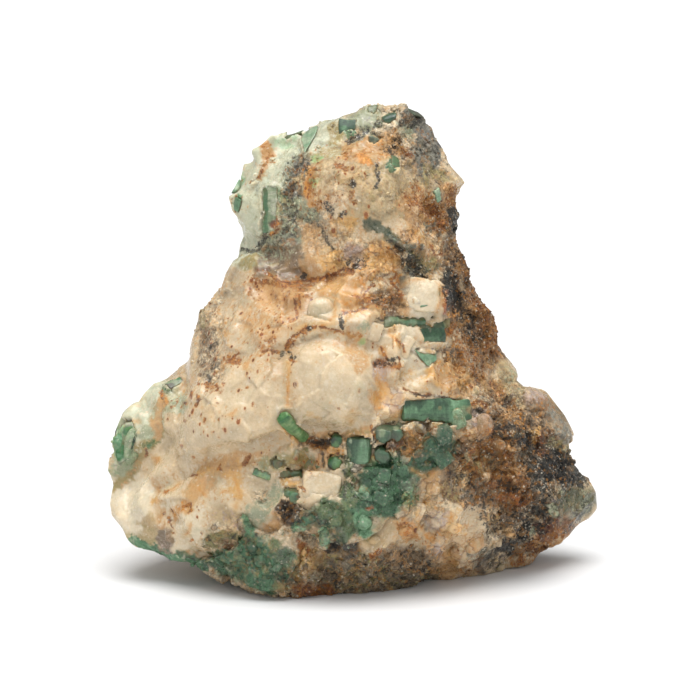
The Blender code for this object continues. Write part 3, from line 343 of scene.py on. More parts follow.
# Thin lines in the stone: cracks filled with rust or honey, and dark seams; the dark lines along the neck crease and
# along the boss's lower edge are painted crease shade.
veinPaint = {
    "rust": [
        ((265, 272), (275, 279), (290, 282), (303, 279), (320, 279), (335, 273), (345, 268), (353, 269)), ((294, 298), (295, 308), (297, 316), (290, 320)),
        ((300, 294), (300, 308)), ((286, 349), (288, 342), (293, 336), (300, 333), (306, 328), (316, 327), (330, 328), (342, 332)), ((278, 352), (268, 350), (262, 352)),
        ((342, 313), (355, 310), (366, 307)), ((370, 424), (372, 432), (376, 440)), ((244, 468), (247, 462), (250, 455)), ((381, 347), (385, 357), (389, 365), (400, 367), (399, 357)),
        ((262, 168), (259, 177)), ((403, 262), (396, 256), (388, 248)), ((398, 290), (392, 282), (396, 274)), ((362, 296), (368, 288), (376, 284)), ((430, 246), (436, 256), (446, 252)),
        ((404, 388), (412, 392), (422, 396), (432, 395)), ((405, 352), (402, 344), (396, 341)), ((288, 357), (293, 361), (290, 364)), ((226, 361), (231, 357), (237, 354)),
        ((191, 392), (190, 398)), ((198, 396), (196, 402), (194, 405)), ((213, 383), (216, 388), (214, 391)), ((168, 518), (172, 528)), ((165, 492), (168, 491)),
        ((190, 475), (197, 475)), ((219, 465), (217, 469), (221, 470)), ((147, 450), (146, 457)), ((161, 391), (162, 398)), ((182, 506), (190, 503), (191, 510), (186, 512)),
        ((450, 408), (462, 404)), ((472, 404), (480, 401), (487, 406)), ((352, 294), (366, 298)), ((300, 486), (304, 490)), ((204, 420),), ((217, 402),), ((187, 416),), ((182, 421),),
        ((183, 403),), ((172, 407),), ((212, 433),), ((182, 446),), ((153, 447),), ((192, 458),), ((209, 391),), ((206, 386),), ((199, 385),), ((222, 383),), ((218, 419),), ((222, 416),),
        ((163, 515),), ((173, 533),), ((191, 541),), ((338, 408),), ((325, 196),), ((338, 182),), ((346, 168),), ((335, 164),), ((252, 405),), ((246, 386),), ((257, 372),), ((353, 192),),
    ],
    "honey": [
        ((287, 362), (287, 376), (288, 390), (287, 404)), ((322, 292), (330, 297), (340, 301), (352, 308)), ((300, 330), (320, 327), (345, 333), (360, 340)),
        ((388, 328), (391, 336), (396, 342), (401, 348)), ((334, 303), (335, 316), (326, 325), (312, 328)), ((281, 424), (289, 434), (295, 441)),
        ((235, 478), (238, 490), (240, 500), (235, 508)), ((356, 284), (354, 296), (358, 306)), ((403, 284), (414, 280), (430, 277)), ((440, 285), (441, 300), (437, 312)),
        ((412, 470), (424, 476), (436, 473)), ((408, 410), (398, 412), (392, 420)), ((418, 522), (424, 532), (430, 540)), ((392, 262), (380, 256), (372, 262)),
        ((235, 409), (233, 413), (229, 415)), ((190, 524), (188, 530), (186, 535)), ((127, 426), (131, 422), (138, 421)), ((155, 457), (158, 459), (155, 462)), ((167, 395), (166, 402)),
        ((165, 492), (172, 489), (180, 483)), ((200, 488), (206, 496)), ((220, 493), (228, 491)), ((243, 361), (248, 363), (245, 368)), ((187, 552),), ((353, 411),), ((351, 422),), ((200, 407),),
        ((222, 331), (227, 336)), ((451, 514), (452, 522)), ((470, 376), (462, 384), (448, 388)), ((430, 352), (434, 362), (430, 374)), ((376, 378), (382, 390), (378, 402)),
    ],
    # dark seams; the first line runs along the neck crease and the fourth under the boss's lower edge, both painted
    # crease shade
    "dark": [
        ((241, 249), (256, 249), (262, 241), (265, 236)), ((320, 226), (324, 236), (328, 244), (334, 249)), ((345, 140), (352, 137), (357, 134), (363, 133), (367, 129)),
        ((305, 441), (315, 443), (330, 441), (338, 447)), ((380, 319), (392, 317), (404, 317)), ((395, 423), (388, 425), (378, 424), (371, 432)), ((372, 300), (384, 298), (392, 304)),
        ((410, 393), (424, 396), (440, 397), (456, 400)), ((344, 470), (346, 482), (345, 496)), ((404, 250), (396, 242), (386, 240)), ((322, 452), (324, 466)),
        ((472, 412), (476, 408), (484, 409)), ((452, 268), (450, 280), (452, 294), (450, 310)), ((492, 414), (497, 426), (492, 436), (480, 441), (462, 442)), ((486, 512), (488, 530), (490, 544)),
        ((206, 374), (207, 378)), ((378, 163), (377, 170), (380, 178), (376, 187)), ((346, 141), (352, 137)), ((283, 352), (280, 357)), ((296, 210), (292, 222)), ((266, 190), (267, 236)),
    ],
}

# Marks of each mineral as strokes: how thick it lies, radius, then the points.
stainPaint = {
    "rust": [
        (0.6, 9, (266, 146), (268, 158)), (0.55, 4, (252, 182), (262, 172)), (0.6, 6, (318, 160), (312, 180), (316, 205)),
        (0.55, 12, (350, 148), (372, 158)), (0.8, 4, (335, 163), (346, 168)), (0.75, 5, (350, 194), (354, 200)), (0.6, 6, (330, 198)),
        (0.75, 6, (405, 150), (410, 154)), (0.7, 13, (415, 195), (430, 205), (440, 222)), (0.7, 8, (452, 190), (456, 204)),
        (0.75, 6, (275, 222), (272, 230)), (0.8, 4, (262, 282), (285, 285), (305, 281), (330, 277), (350, 268)), (0.55, 16, (258, 288), (290, 296), (305, 286)),
        (0.52, 11, (398, 250), (384, 262), (394, 282)), (0.68, 8, (398, 296), (378, 302), (362, 300)), (0.66, 14, (470, 262), (484, 300), (492, 345)), (0.6, 10, (455, 330), (470, 345)), (0.55, 14, (470, 440), (488, 476), (480, 500)),
        (0.6, 11, (462, 364), (468, 350), (482, 372)), (0.75, 4, (308, 330), (296, 336), (288, 346)), (0.6, 4, (320, 328), (345, 332), (360, 337)),
        (0.7, 5, (303, 441), (322, 445), (338, 441)), (0.65, 8, (430, 428), (420, 436)), (0.8, 6, (302, 546), (306, 552)),
        (0.85, 4, (373, 556), (380, 551)), (0.7, 8, (402, 526), (412, 534)), (0.62, 24, (500, 440), (515, 500), (480, 460)), (0.55, 12, (545, 405)),
        (0.6, 10, (300, 590), (328, 594)), (0.6, 12, (520, 560), (575, 530)), (0.8, 4, (161, 392), (166, 402)), (0.75, 5, (226, 358), (236, 360)),
        (0.7, 5, (208, 384), (218, 390)), (0.6, 7, (262, 346), (272, 340)), (0.7, 5, (378, 364), (398, 366)), (0.85, 3, (248, 458), (244, 466)),
    ],
    # dark: black mica patches; the strokes along the neck crease and along the boss's lower edge are painted crease
    # shade
    "dark": [
        (0.45, 8, (304, 156), (292, 175), (288, 200)), (0.45, 6, (283, 222), (300, 220), (276, 242)), (0.8, 4, (345, 212), (340, 216)), (0.75, 6, (330, 212), (325, 204)),
        (0.55, 3, (320, 226), (328, 244), (333, 250)), (0.45, 5, (262, 268), (282, 277)), (0.9, 4, (303, 276)), (0.85, 4, (352, 181), (353, 185)),
        (0.7, 3, (378, 160), (380, 172), (378, 182), (375, 187)), (0.7, 6, (350, 136), (366, 130), (380, 124)), (0.65, 9, (405, 122), (422, 122)),
        (0.75, 6, (400, 138), (392, 152)), (0.7, 3, (240, 250), (252, 250), (264, 238)), (0.85, 8, (456, 212), (458, 228)), (0.6, 9, (466, 250), (458, 262)),
        (0.8, 7, (450, 275), (450, 290), (460, 310)), (0.65, 6, (350, 262), (362, 262)), (0.7, 12, (408, 262), (420, 274)), (0.6, 4, (396, 254), (386, 246)),
        (0.6, 4, (398, 294), (390, 302)), (0.75, 4, (340, 316), (343, 326)), (0.65, 12, (460, 310), (480, 335)), (0.55, 13, (470, 268), (480, 300)), (0.5, 10, (450, 340), (470, 352)), (0.55, 14, (455, 470), (470, 488)), (0.8, 3, (285, 351), (292, 356)), (0.55, 6, (212, 342), (214, 365)),
        (0.65, 9, (285, 512), (298, 518)), (0.8, 6, (335, 547)), (0.7, 5, (338, 586)), (0.75, 12, (505, 430), (525, 440)), (0.8, 4, (310, 328)),
        (0.7, 17, (545, 455), (582, 475)), (0.75, 7, (500, 485), (515, 490)), (0.75, 10, (495, 562), (505, 552)), (0.6, 20, (540, 500), (525, 530)),
        (0.7, 7, (588, 505), (570, 530)), (0.65, 5, (314, 443), (330, 441)), (0.65, 6, (380, 364), (396, 360)), (0.5, 15, (474, 452), (500, 464)), (0.6, 18, (478, 500), (500, 520)),
    ],
    "honey": [
        (0.7, 10, (348, 232), (345, 240)), (0.7, 8, (325, 258), (338, 266)), (0.7, 12, (340, 290), (330, 284)), (0.75, 10, (382, 262), (390, 272)),
        (0.6, 8, (420, 232), (432, 246)), (0.75, 5, (362, 310), (330, 322), (298, 330)), (0.75, 3, (287, 350), (287, 376)), (0.85, 5, (393, 332), (398, 344)),
        (0.75, 5, (432, 368), (436, 358)), (0.65, 6, (282, 436), (292, 444)), (0.8, 5, (233, 473), (226, 474)), (0.5, 4, (288, 487), (300, 488)),
        (0.6, 8, (155, 500), (152, 520)), (0.7, 10, (452, 525), (462, 540)), (0.6, 9, (425, 500), (412, 512)), (0.7, 7, (388, 395), (378, 400)), (0.7, 3, (134, 424), (138, 432)),
        (0.7, 5, (376, 268), (380, 285)), (0.6, 7, (366, 150)), (0.8, 4, (156, 459)), (0.6, 6, (214, 325), (226, 335)), (0.55, 8, (356, 410), (350, 420)), (0.75, 4, (308, 415), (318, 420)),
    ],
    "speck": [
        (0.95, 16, (258, 284), (282, 300), (296, 296)), (0.85, 14, (245, 318), (275, 325)), (0.8, 9, (262, 345), (232, 352)), (0.62, 9, (206, 302), (204, 330), (214, 362)), (0.55, 8, (236, 358), (268, 350)),
        (0.5, 22, (190, 400), (215, 420)), (0.65, 5, (208, 385), (220, 390)), (0.75, 30, (345, 190), (320, 180)), (0.6, 14, (385, 205), (350, 215)), (0.6, 12, (290, 300), (302, 286)),
        (0.35, 12, (182, 510), (200, 540)), (0.3, 12, (255, 455), (290, 460)), (0.2, 30, (240, 390), (260, 380)), (0.12, 30, (330, 380)), (0.35, 20, (380, 340), (420, 390)),
        (0.6, 16, (440, 386), (470, 396)), (0.5, 12, (228, 310), (236, 322)), (0.55, 16, (330, 235), (345, 262)), (0.55, 14, (400, 205), (425, 192)), (0.55, 8, (240, 185), (236, 205)),
        (0.5, 20, (420, 540), (470, 555)), (0.5, 10, (290, 470), (330, 460)), (0.6, 9, (385, 310), (372, 300)),
    ],
    "schist": [
        (0.15, 20, (262, 190), (300, 150), (340, 125)), (0.8, 11, (300, 160), (290, 185), (290, 215)), (0.65, 28, (405, 130), (430, 160)), (0.6, 12, (268, 245), (290, 232), (316, 220)),
        (0.25, 26, (340, 175), (400, 195)), (0.8, 15, (405, 255), (422, 272)), (0.5, 20, (330, 240), (380, 265)), (1.0, 26, (448, 212), (470, 265), (485, 330)),
        (0.7, 10, (382, 300), (398, 298)), (0.9, 34, (500, 410), (530, 450)), (1.0, 34, (484, 466), (548, 470), (522, 525)), (0.3, 18, (440, 548), (470, 562)),
        (0.9, 22, (300, 588), (380, 574), (420, 574)), (0.8, 12, (288, 512), (330, 545)), (0.75, 14, (464, 382), (478, 368)), (0.6, 9, (452, 356), (462, 362)), (0.7, 8, (300, 442), (338, 442)),
        (0.7, 12, (412, 440), (425, 450)), (0.4, 22, (250, 560), (232, 540)), (0.6, 14, (420, 510), (440, 500)), (0.7, 8, (262, 495)), (0.4, 14, (205, 300), (210, 365)),
    ],
    "crazed": [
        (0.9, 20, (375, 258), (385, 285), (370, 300)), (0.6, 14, (335, 235), (330, 260)), (0.9, 16, (425, 235), (440, 250)), (0.8, 22, (455, 535), (462, 555)),
        (0.7, 12, (395, 395), (385, 418)), (0.8, 12, (405, 440), (412, 452)), (0.6, 16, (430, 490), (420, 515)), (0.5, 22, (345, 165), (340, 195)), (0.7, 14, (425, 210), (445, 205)),
        (0.7, 18, (470, 380), (505, 400)), (0.6, 14, (325, 450), (300, 470)), (0.6, 12, (312, 560), (285, 588)), (0.8, 12, (464, 270), (476, 300)), (0.5, 16, (480, 430), (500, 470)),
    ],
    "green": [
        (0.5, 7, (308, 138), (302, 134)), (0.6, 4, (328, 121)), (0.6, 3, (267, 190), (267, 230)),
        (0.8, 5, (390, 164), (393, 169)), (0.7, 6, (346, 131), (354, 135)), (0.4, 4, (374, 228), (392, 238), (408, 248)), (0.35, 9, (245, 175), (238, 200)),
        (0.6, 6, (445, 228)), (0.8, 4, (437, 195)), (0.85, 8, (120, 438), (130, 456)), (0.75, 6, (133, 430), (124, 452)), (0.9, 3, (423, 306), (427, 305)), (0.85, 4, (439, 292)),
        (0.7, 6, (165, 388), (173, 385)), (0.75, 4, (150, 446)), (0.95, 5, (133, 540), (160, 556), (205, 568)), (0.75, 7, (296, 528), (306, 525)), (0.8, 7, (310, 518)),
        (0.6, 13, (250, 545), (240, 560), (262, 575)), (0.45, 14, (285, 560)), (0.9, 3, (397, 453)), (0.95, 3, (404, 448)), (0.5, 7, (276, 492)), (0.6, 6, (294, 497), (298, 503)),
        (0.9, 2.5, (316, 467)), (0.6, 5, (365, 338)), (0.6, 3, (281, 353)), (0.7, 3, (314, 182)), (0.6, 4, (372, 136)), (0.5, 10, (240, 515), (250, 528)),
    ],
}

# Places on the picture where the rock stands further out than the solids: x, y, radius, and how far in its pixels.
outlinePush = [
    (232, 192, 24, -6, 0), (250, 166, 26, -11, -9), (312, 130, 24, 0, -9), (332, 122, 22, 0, -10), (354, 116, 22, 0, -6), (396, 105, 28, 1, -5),
    (424, 124, 24, 6, -6), (442, 146, 24, 6, -4), (462, 182, 26, 6, 0), (459, 212, 26, 5, 0), (472, 266, 30, 6, 0), (486, 312, 32, 6, -1),
    (536, 392, 28, 3, -6), (572, 440, 26, 2, 0), (580, 476, 26, 9, -2), (593, 492, 26, 7, 0), (588, 516, 26, 7, 2), (566, 534, 26, 7, 7), (544, 552, 26, 4, 4),
    (110, 482, 36, -6, 0), (111, 516, 32, -5, 1), (108, 450, 26, -4, 0), (134, 542, 28, -5, 4), (150, 392, 24, -4, -3), (204, 310, 30, -7, -1),
    (192, 344, 28, -3, 0), (243, 242, 26, -6, 0), (300, 592, 40, 0, 4), (340, 595, 40, 0, 4), (385, 592, 40, 0, 4), (430, 588, 40, 0, 4), (480, 580, 40, 0, 3),
]


# Places on the picture where the rock's edge is smooth: x, y and radius in its pixels.
calmPlaces = [(248, 160, 20), (238, 182, 12), (236, 214, 14), (458, 184, 20), (447, 152, 14), (461, 212, 10), (324, 124, 12)]


def calmed(piece):
    where = onPicture(readMesh(piece.data)[0])
    group = piece.vertex_groups.new(name="calm")
    calm = np.zeros(len(where))
    for x, y, radius in calmPlaces:
        calm = np.maximum(calm, ease(1.6 - np.linalg.norm(where - (x, y), axis=1) / radius))
    for share in (0.25, 0.5, 0.75, 1.0):
        chosen = np.flatnonzero((calm > share - 0.25) & (calm <= share))
        group.add(chosen.tolist(), share, "REPLACE")
    soft = piece.modifiers.new("calm", "SMOOTH")
    soft.factor, soft.iterations, soft.vertex_group = 0.5, 16, "calm"
    settle(piece)
    piece.vertex_groups.clear()


def pushedOut(places):
    ahead, up, eye = viewAxes()
    picture, moved = onPicture(places), np.zeros((len(places), 2))
    for x, y, radius, right, down in outlinePush:
        cover = ease(1 - np.linalg.norm(picture - (x, y), axis=1) / radius)
        moved += cover[:, None] * (right, down)
    scale = photoView["distance"] * 36 / photoView["lens"] / photoView["picture"]
    return places + scale * (moved[:, :1] * np.array([1, 0, 0]) - moved[:, 1:] * up)


# ---- the stone

stoneSizes = {
    "voxel": 0.24, "plug": 0.42, "soften": 5, "triangles": 196000, "bandSink": 1.1, "collar": (0.8, 0.45),
    "grain": (1.5, 0.3), "crumb": (0.75, 0.17), "chip": (3.4, 0.34), "shard": (1.3, 0.12), "pit": (0.5, 0.06),
}
smallCrystals = sorted(set(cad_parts) - {"matrix_rock", "emerald_mass"})


def nearTree(nodes, pushed=True):
    shape = copyOf(nodes)
    places = pushedOut(np.array([vert.co for vert in shape.verts]) / mm)
    for vert, place in zip(shape.verts, places):
        vert.co = Vector(place) * mm if pushed else vert.co
    tree = BVHTree.FromBMesh(shape)
    shape.free()
    return tree


def openRims(shape):  # the open edges, hole by hole
    unseen = {edge for edge in shape.edges if edge.is_boundary}
    rims = []
    while unseen:
        rim, ahead = [], [unseen.pop()]
        while ahead:
            edge = ahead.pop()
            rim.append(edge)
            near = {other for vert in edge.verts for other in vert.link_edges} & unseen
            unseen -= near
            ahead.extend(near)
        rims.append(rim)
    return rims


def plugSockets(shape, reach):  # the sockets round the small crystals are closed, so the stone runs up to each
    tree = nearTree(smallCrystals, False)
    walls = [face for face in shape.faces if tree.find_nearest(face.calc_center_median(), reach)[0] is not None]
    while walls:
        bmesh.ops.delete(shape, geom=walls, context="FACES")
        pinched = [vert for vert in shape.verts if sum(edge.is_boundary for edge in vert.link_edges) > 2]
        walls = list({face for vert in pinched for face in vert.link_faces})
    for rim in openRims(shape):
        around = {vert for edge in rim for vert in edge.verts}
        centre = sum((vert.co for vert in around), Vector()) / len(around)
        grown = bmesh.ops.extrude_edge_only(shape, edges=rim)["geom"]
        tips = [item for item in grown if isinstance(item, bmesh.types.BMVert)]
        bmesh.ops.pointmerge(shape, verts=tips, merge_co=centre)
    bmesh.ops.delete(shape, geom=[vert for vert in shape.verts if not vert.link_faces], context="VERTS")
    bmesh.ops.recalc_face_normals(shape, faces=shape.faces)


def swollen(shape, by):
    bmesh.ops.recalc_face_normals(shape, faces=shape.faces)
    shape.normal_update()
    for vert in shape.verts:
        vert.co += vert.normal * by * vert.calc_shell_factor()


def stoneForm():
    shape = copyOf(["matrix_rock"])
    plugSockets(shape, stoneSizes["plug"] * mm)
    band = copyOf(["emerald_mass"])
    swollen(band, 0.36 * mm)
    joined = bpy.data.meshes.new("band")
    band.to_mesh(joined)
    band.free()
    shape.from_mesh(joined)
    stone = newPiece("stone_matrix", shape)
    even = stone.modifiers.new("even", "REMESH")
    even.mode, even.voxel_size = "VOXEL", stoneSizes["voxel"] * mm
    soft = stone.modifiers.new("soft", "SMOOTH")
    soft.factor, soft.iterations = 0.5, stoneSizes["soften"]
    settle(stone)
    return stone


def onePart(piece):  # keeps the largest connected part of a mesh
    shape = bmesh.new()
    shape.from_mesh(piece.data)
    unseen, parts = set(shape.verts), []
    while unseen:
        front = [unseen.pop()]
        parts.append([])
        while front:
            vert = front.pop()
            parts[-1].append(vert)
            near = {edge.other_vert(vert) for edge in vert.link_edges} & unseen
            unseen -= near
            front.extend(near)
    parts.sort(key=len)
    for part in parts[:-1]:
        bmesh.ops.delete(shape, geom=part, context="VERTS")
    shape.to_mesh(piece.data)
    shape.free()


def thinBack(stone):  # fewer triangles behind, where the photograph doesn't look
    places, facing = readMesh(stone.data)
    group = stone.vertex_groups.new(name="behind")
    behind = ease((facing[:, 1] + 0.15) / 0.5)
    for share in (0.25, 0.5, 0.75, 1.0):
        chosen = np.flatnonzero((behind > share - 0.25) & (behind <= share))
        group.add(chosen.tolist(), share, "REPLACE")
    thin = stone.modifiers.new("thin", "DECIMATE")
    thin.vertex_group, thin.vertex_group_factor = "behind", 1.0
    thin.ratio = min(1, stoneSizes["triangles"] / (2 * len(stone.data.polygons)))
    settle(stone)
    stone.vertex_groups.clear()
    onePart(stone)


def paintedTone(where, strokes, edge):  # the ground colour, the mixed one and its share, stroke over stroke
    tone = np.tile([*light("slab"), *light("tan"), 0.4], (len(where), 1))
    for ground, mixed, share, radius, *path in strokes:
        near, cover = strokeCover(where, path, radius, edge)
        tone[near] = mix(tone[near], np.array([*light(ground), *light(mixed), share]), cover[:, None])
    return tone


def lookOf(places, facing):  # everything painted on the stone at these places
    picture = onPicture(places)
    wobble = np.stack([roughField(places, 2.6, 3, 11.3), roughField(places, 2.6, 3, 47.1)], axis=1)
    ragged = np.stack([roughField(places, 0.8, 3, 5.9), roughField(places, 0.8, 3, 83.7)], axis=1)
    broad = picture + 4.5 * wobble + 3.5 * ragged
    close = picture + 1.0 * wobble + 1.2 * ragged
    front = ease((0.35 - facing[:, 1]) / 0.5)
    tone = paintedTone(broad, [stroke for strokes in zonePaint.values() for stroke in strokes], 0.22)
    fields = {}
    for name, strokes in stainPaint.items():
        field = np.zeros(len(places))
        for strength, radius, *path in strokes:
            near, cover = strokeCover(broad if name == "schist" else close, path, radius, 0.5)
            field[near] = np.maximum(field[near], strength * cover)
        fields[name] = field
    for name, lines in veinPaint.items():
        field = np.zeros(len(places))
        for path in lines:
            near, cover = strokeCover(close, path, 3, 0.98, False)
            field[near] = np.maximum(field[near], cover)
        fields["vein" + name.capitalize()] = field
    return tone, fields, front


def reliefOf(places, facing, fields):
    schist = fields["schist"]
    rise = np.zeros(len(places))
    size, height = stoneSizes["grain"]
    inside, chance = cellField(places, size)
    rise += (schist * 0.95 + 0.05) * height * (1.6 * np.minimum(inside, 0.5) + chance - 0.9)
    size, height = stoneSizes["crumb"]
    inside, chance = cellField(places, size, 31.7)
    rise += (schist * 0.95 + 0.05) * height * (1.6 * np.minimum(inside, 0.5) + chance - 0.9)
    size, height = stoneSizes["chip"]
    rise += (0.6 - schist * 0.2) * height * chipField(places, size, 3.3)
    size, height = stoneSizes["shard"]
    rise += (0.15 + 0.85 * schist) * height * chipField(places, size, 8.3)
    size, height = stoneSizes["pit"]
    rise += height * (0.15 + schist) * roughField(places, size, 2, 19.1)
    rise -= 0.12 * fields["dark"] + 0.05 * fields["rust"] + 0.1 * fields["veinDark"] + 0.04 * fields["veinRust"]
    return rise


def openedAt(places, facing, reach, height):  # the stone follows the top of each small crystal, and opens over it
    tree = nearTree(smallCrystals)
    change, near = np.zeros(len(places)), np.zeros(len(places))
    for index in range(len(places)):
        spot, way = Vector(places[index]) * mm, Vector(facing[index])
        edge, side, face, gap = tree.find_nearest(spot, reach * mm)
        if gap is None:
            continue
        near[index] = float(ease(1.15 - gap / mm / reach))
        over = tree.ray_cast(spot + way * 0.8 * mm, -way, 2.0 * mm)
        if over[0] is not None and over[1].dot(way) > 0.2:
            change[index] = min(0.0, 0.7 - over[3] / mm)
            continue
        inward = edge - spot
        inward -= way * inward.dot(way)
        if inward.length > 0:
            edge = spot + inward + inward.normalized() * 0.35 * mm
            over = tree.ray_cast(edge + way * 0.8 * mm, -way, 2.0 * mm)
        top = 0.75 - over[3] / mm if over[0] is not None and over[1].dot(way) > 0.2 else 0.0
        change[index] = near[index] * max(-height, min(height, top))
    return change, near


def sinkBand(places, facing, depth):  # the stone is sunk under the band of emerald, which has its own piece
    tree = nearTree(["emerald_mass"])
    sunk = np.zeros(len(places))
    for index in np.flatnonzero((facing[:, 1] < 0.4) & (places[:, 2] < 23)):
        gap = tree.find_nearest(Vector(places[index]) * mm, 1.2 * mm)[3]
        if gap is not None:
            sunk[index] = float(ease((0.75 - gap / mm) / 0.45))
    return depth * sunk


def writeColours(mesh, name, values):
    layer = mesh.attributes.get(name) or mesh.attributes.new(name, "FLOAT_COLOR", "POINT")
    filled = np.ones((len(mesh.vertices), 4), np.float32)
    filled[:, :3] = values
    layer.data.foreach_set("color", filled.ravel())


def paintPiece(piece, tone, fields):
    writeColours(piece.data, "tone", tone[:, :3])
    writeColours(piece.data, "mixed", tone[:, 3:6])
    writeColours(piece.data, "share", tone[:, 6:7])
    writeColours(piece.data, "stain", np.stack([fields["rust"], fields["dark"], fields["honey"]], axis=1))
    writeColours(piece.data, "kind", np.stack([fields["schist"], fields["green"], fields["speck"]], axis=1))
    writeColours(piece.data, "vein", np.stack([fields["veinRust"], fields["veinHoney"], fields["veinDark"]], axis=1))
    writeColours(piece.data, "crazed", fields["crazed"][:, None])


def makeStone():
    stone = stoneForm()
    print("stone remeshed,", len(stone.data.polygons), "quads")
    thinBack(stone)
    writePoints(stone.data, pushedOut(readMesh(stone.data)[0]))
    places, facing = readMesh(stone.data)
    tone, fields, front = lookOf(places, facing)
    print("stone painted,", len(places), "points,", len(stone.data.polygons), "faces")
    opened, near = openedAt(places, facing, *stoneSizes["collar"])
    rise = reliefOf(places, facing, fields) * (1 - 0.7 * near) - sinkBand(places, facing, stoneSizes["bandSink"]) + opened
    places += facing * rise[:, None]
    places[:, 2] = np.maximum(places[:, 2], 0)
    writePoints(stone.data, places)
    calmed(stone)
    paintPiece(stone, tone, fields)
    shaded(stone)
    return stone


# ---- materials


def addNode(tree, kind, sockets=(), **settings):
    node = tree.nodes.new(kind)
    for name, value in settings.items():
        setattr(node, name, value)
    for key, value in dict(sockets).items():
        if isinstance(value, bpy.types.NodeSocket):
            tree.links.new(value, node.inputs[key])
        else:
            node.inputs[key].default_value = value
    return node


def sums(tree, operation, first, second=0.0, third=0.0, clamp=False):
    sockets = {0: first, 1: second} if operation != "MULTIPLY_ADD" else {0: first, 1: second, 2: third}
    return addNode(tree, "ShaderNodeMath", sockets, operation=operation, use_clamp=clamp).outputs[0]


def blendColour(tree, share, first, second, way="MIX"):
    node = addNode(tree, "ShaderNodeMix", {0: share, 6: first, 7: second}, data_type="RGBA", blend_type=way)
    return node.outputs[2]


def noiseAt(tree, coords, scale, detail=4.0, roughness=0.6, **more):
    sockets = {"Vector": coords, "Scale": scale, "Detail": detail, "Roughness": roughness}
    return addNode(tree, "ShaderNodeTexNoise", sockets, **more)


def shifted(tree, coords, by, stretch=(1, 1, 1), turn=(0, 0, 0)):
    sockets = {"Vector": coords, "Location": by, "Scale": stretch, "Rotation": turn}
    return addNode(tree, "ShaderNodeMapping", sockets).outputs[0]


def crisp(tree, density, pattern, gain, width):  # turns a painted density into patches with ragged edges
    level = sums(tree, "MULTIPLY_ADD", density, 1.6, -1.1)
    level = sums(tree, "MULTIPLY_ADD", sums(tree, "SUBTRACT", pattern, 0.5), gain, level)
    node = addNode(tree, "ShaderNodeMapRange", {0: level, 1: -width, 2: width, 3: 0.0, 4: 1.0}, interpolation_type="SMOOTHSTEP")
    return node.outputs[0]


def colourOf(name):
    return (*light(name), 1)


def shareOf(tree, name):
    return addNode(tree, "ShaderNodeSeparateColor", {0: addNode(tree, "ShaderNodeAttribute", attribute_name=name).outputs["Color"]}).outputs


def facetNormal(tree, coords, scale, tilt, normal):  # every grain leans its own way
    cells = addNode(tree, "ShaderNodeTexVoronoi", {"Vector": coords, "Scale": scale}).outputs["Color"]
    lean = addNode(tree, "ShaderNodeVectorMath", {0: cells, 1: (0.5, 0.5, 0.5)}, operation="SUBTRACT").outputs[0]
    lean = addNode(tree, "ShaderNodeVectorMath", {0: lean, "Scale": tilt}, operation="SCALE").outputs[0]
    return addNode(tree, "ShaderNodeVectorMath", {0: normal, 1: lean}, operation="ADD").outputs[0]


def ranged(tree, value, low, high, start=0.0, end=1.0, smooth=True):
    kind = "SMOOTHSTEP" if smooth else "LINEAR"
    node = addNode(tree, "ShaderNodeMapRange", {0: value, 1: low, 2: high, 3: start, 4: end}, interpolation_type=kind)
    return node.outputs[0]


def cellsAt(tree, coords, scale):  # grains: the distance from each one's middle, and its three random numbers
    node = addNode(tree, "ShaderNodeTexVoronoi", {"Vector": coords, "Scale": scale})
    return node.outputs["Distance"], addNode(tree, "ShaderNodeSeparateColor", {0: node.outputs["Color"]}).outputs


def times(tree, first, second, third=1.0):
    product = sums(tree, "MULTIPLY", first, second)
    return product if third == 1.0 else sums(tree, "MULTIPLY", product, third)


def plus(tree, first, second, scale):  # first + second * scale
    return sums(tree, "MULTIPLY_ADD", second, scale, first)


def brightened(tree, colour, factor):
    grey = addNode(tree, "ShaderNodeCombineColor", {0: factor, 1: factor, 2: factor}).outputs[0]
    return blendColour(tree, 1.0, colour, grey, "MULTIPLY")


def fleckLayer(tree, coords, scale, density, colour):  # small rusty flecks, each in an orange halo
    away, chance = cellsAt(tree, coords, scale)
    present = ranged(tree, sums(tree, "SUBTRACT", density, chance[0]), -0.02, 0.02)
    reach = plus(tree, 0.08, chance[1], 0.26)
    halo = ranged(tree, sums(tree, "SUBTRACT", plus(tree, 0.2, reach, 1.3), away), 0.0, 0.25)
    colour = blendColour(tree, times(tree, halo, present, 0.4), colour, colourOf("orange"))
    spot = ranged(tree, sums(tree, "SUBTRACT", reach, away), -0.04, 0.05)
    tone = blendColour(tree, chance[2], colourOf("rust"), colourOf("redBrown"))
    return blendColour(tree, times(tree, spot, present, 0.9), colour, tone)


mineralLooks = {
    "quartzAndSchist": {"rough": 0.27, "transmission": 0.0, "subsurface": 0.6, "ior": 1.5, "swing": 0.16, "cells": 0.03,
                        "clast": 0.0, "bump": 0.09, "veil": "milk", "glints": 0.06, "tint": 0.3},
    "emeraldBand": {"rough": 0.3, "transmission": 0.08, "subsurface": 0.2, "ior": 1.58, "swing": 0.6, "cells": 0.25,
                    "clast": 0.3, "bump": 0.45, "veil": "mint", "glints": 0.35, "tint": 0.0},
}


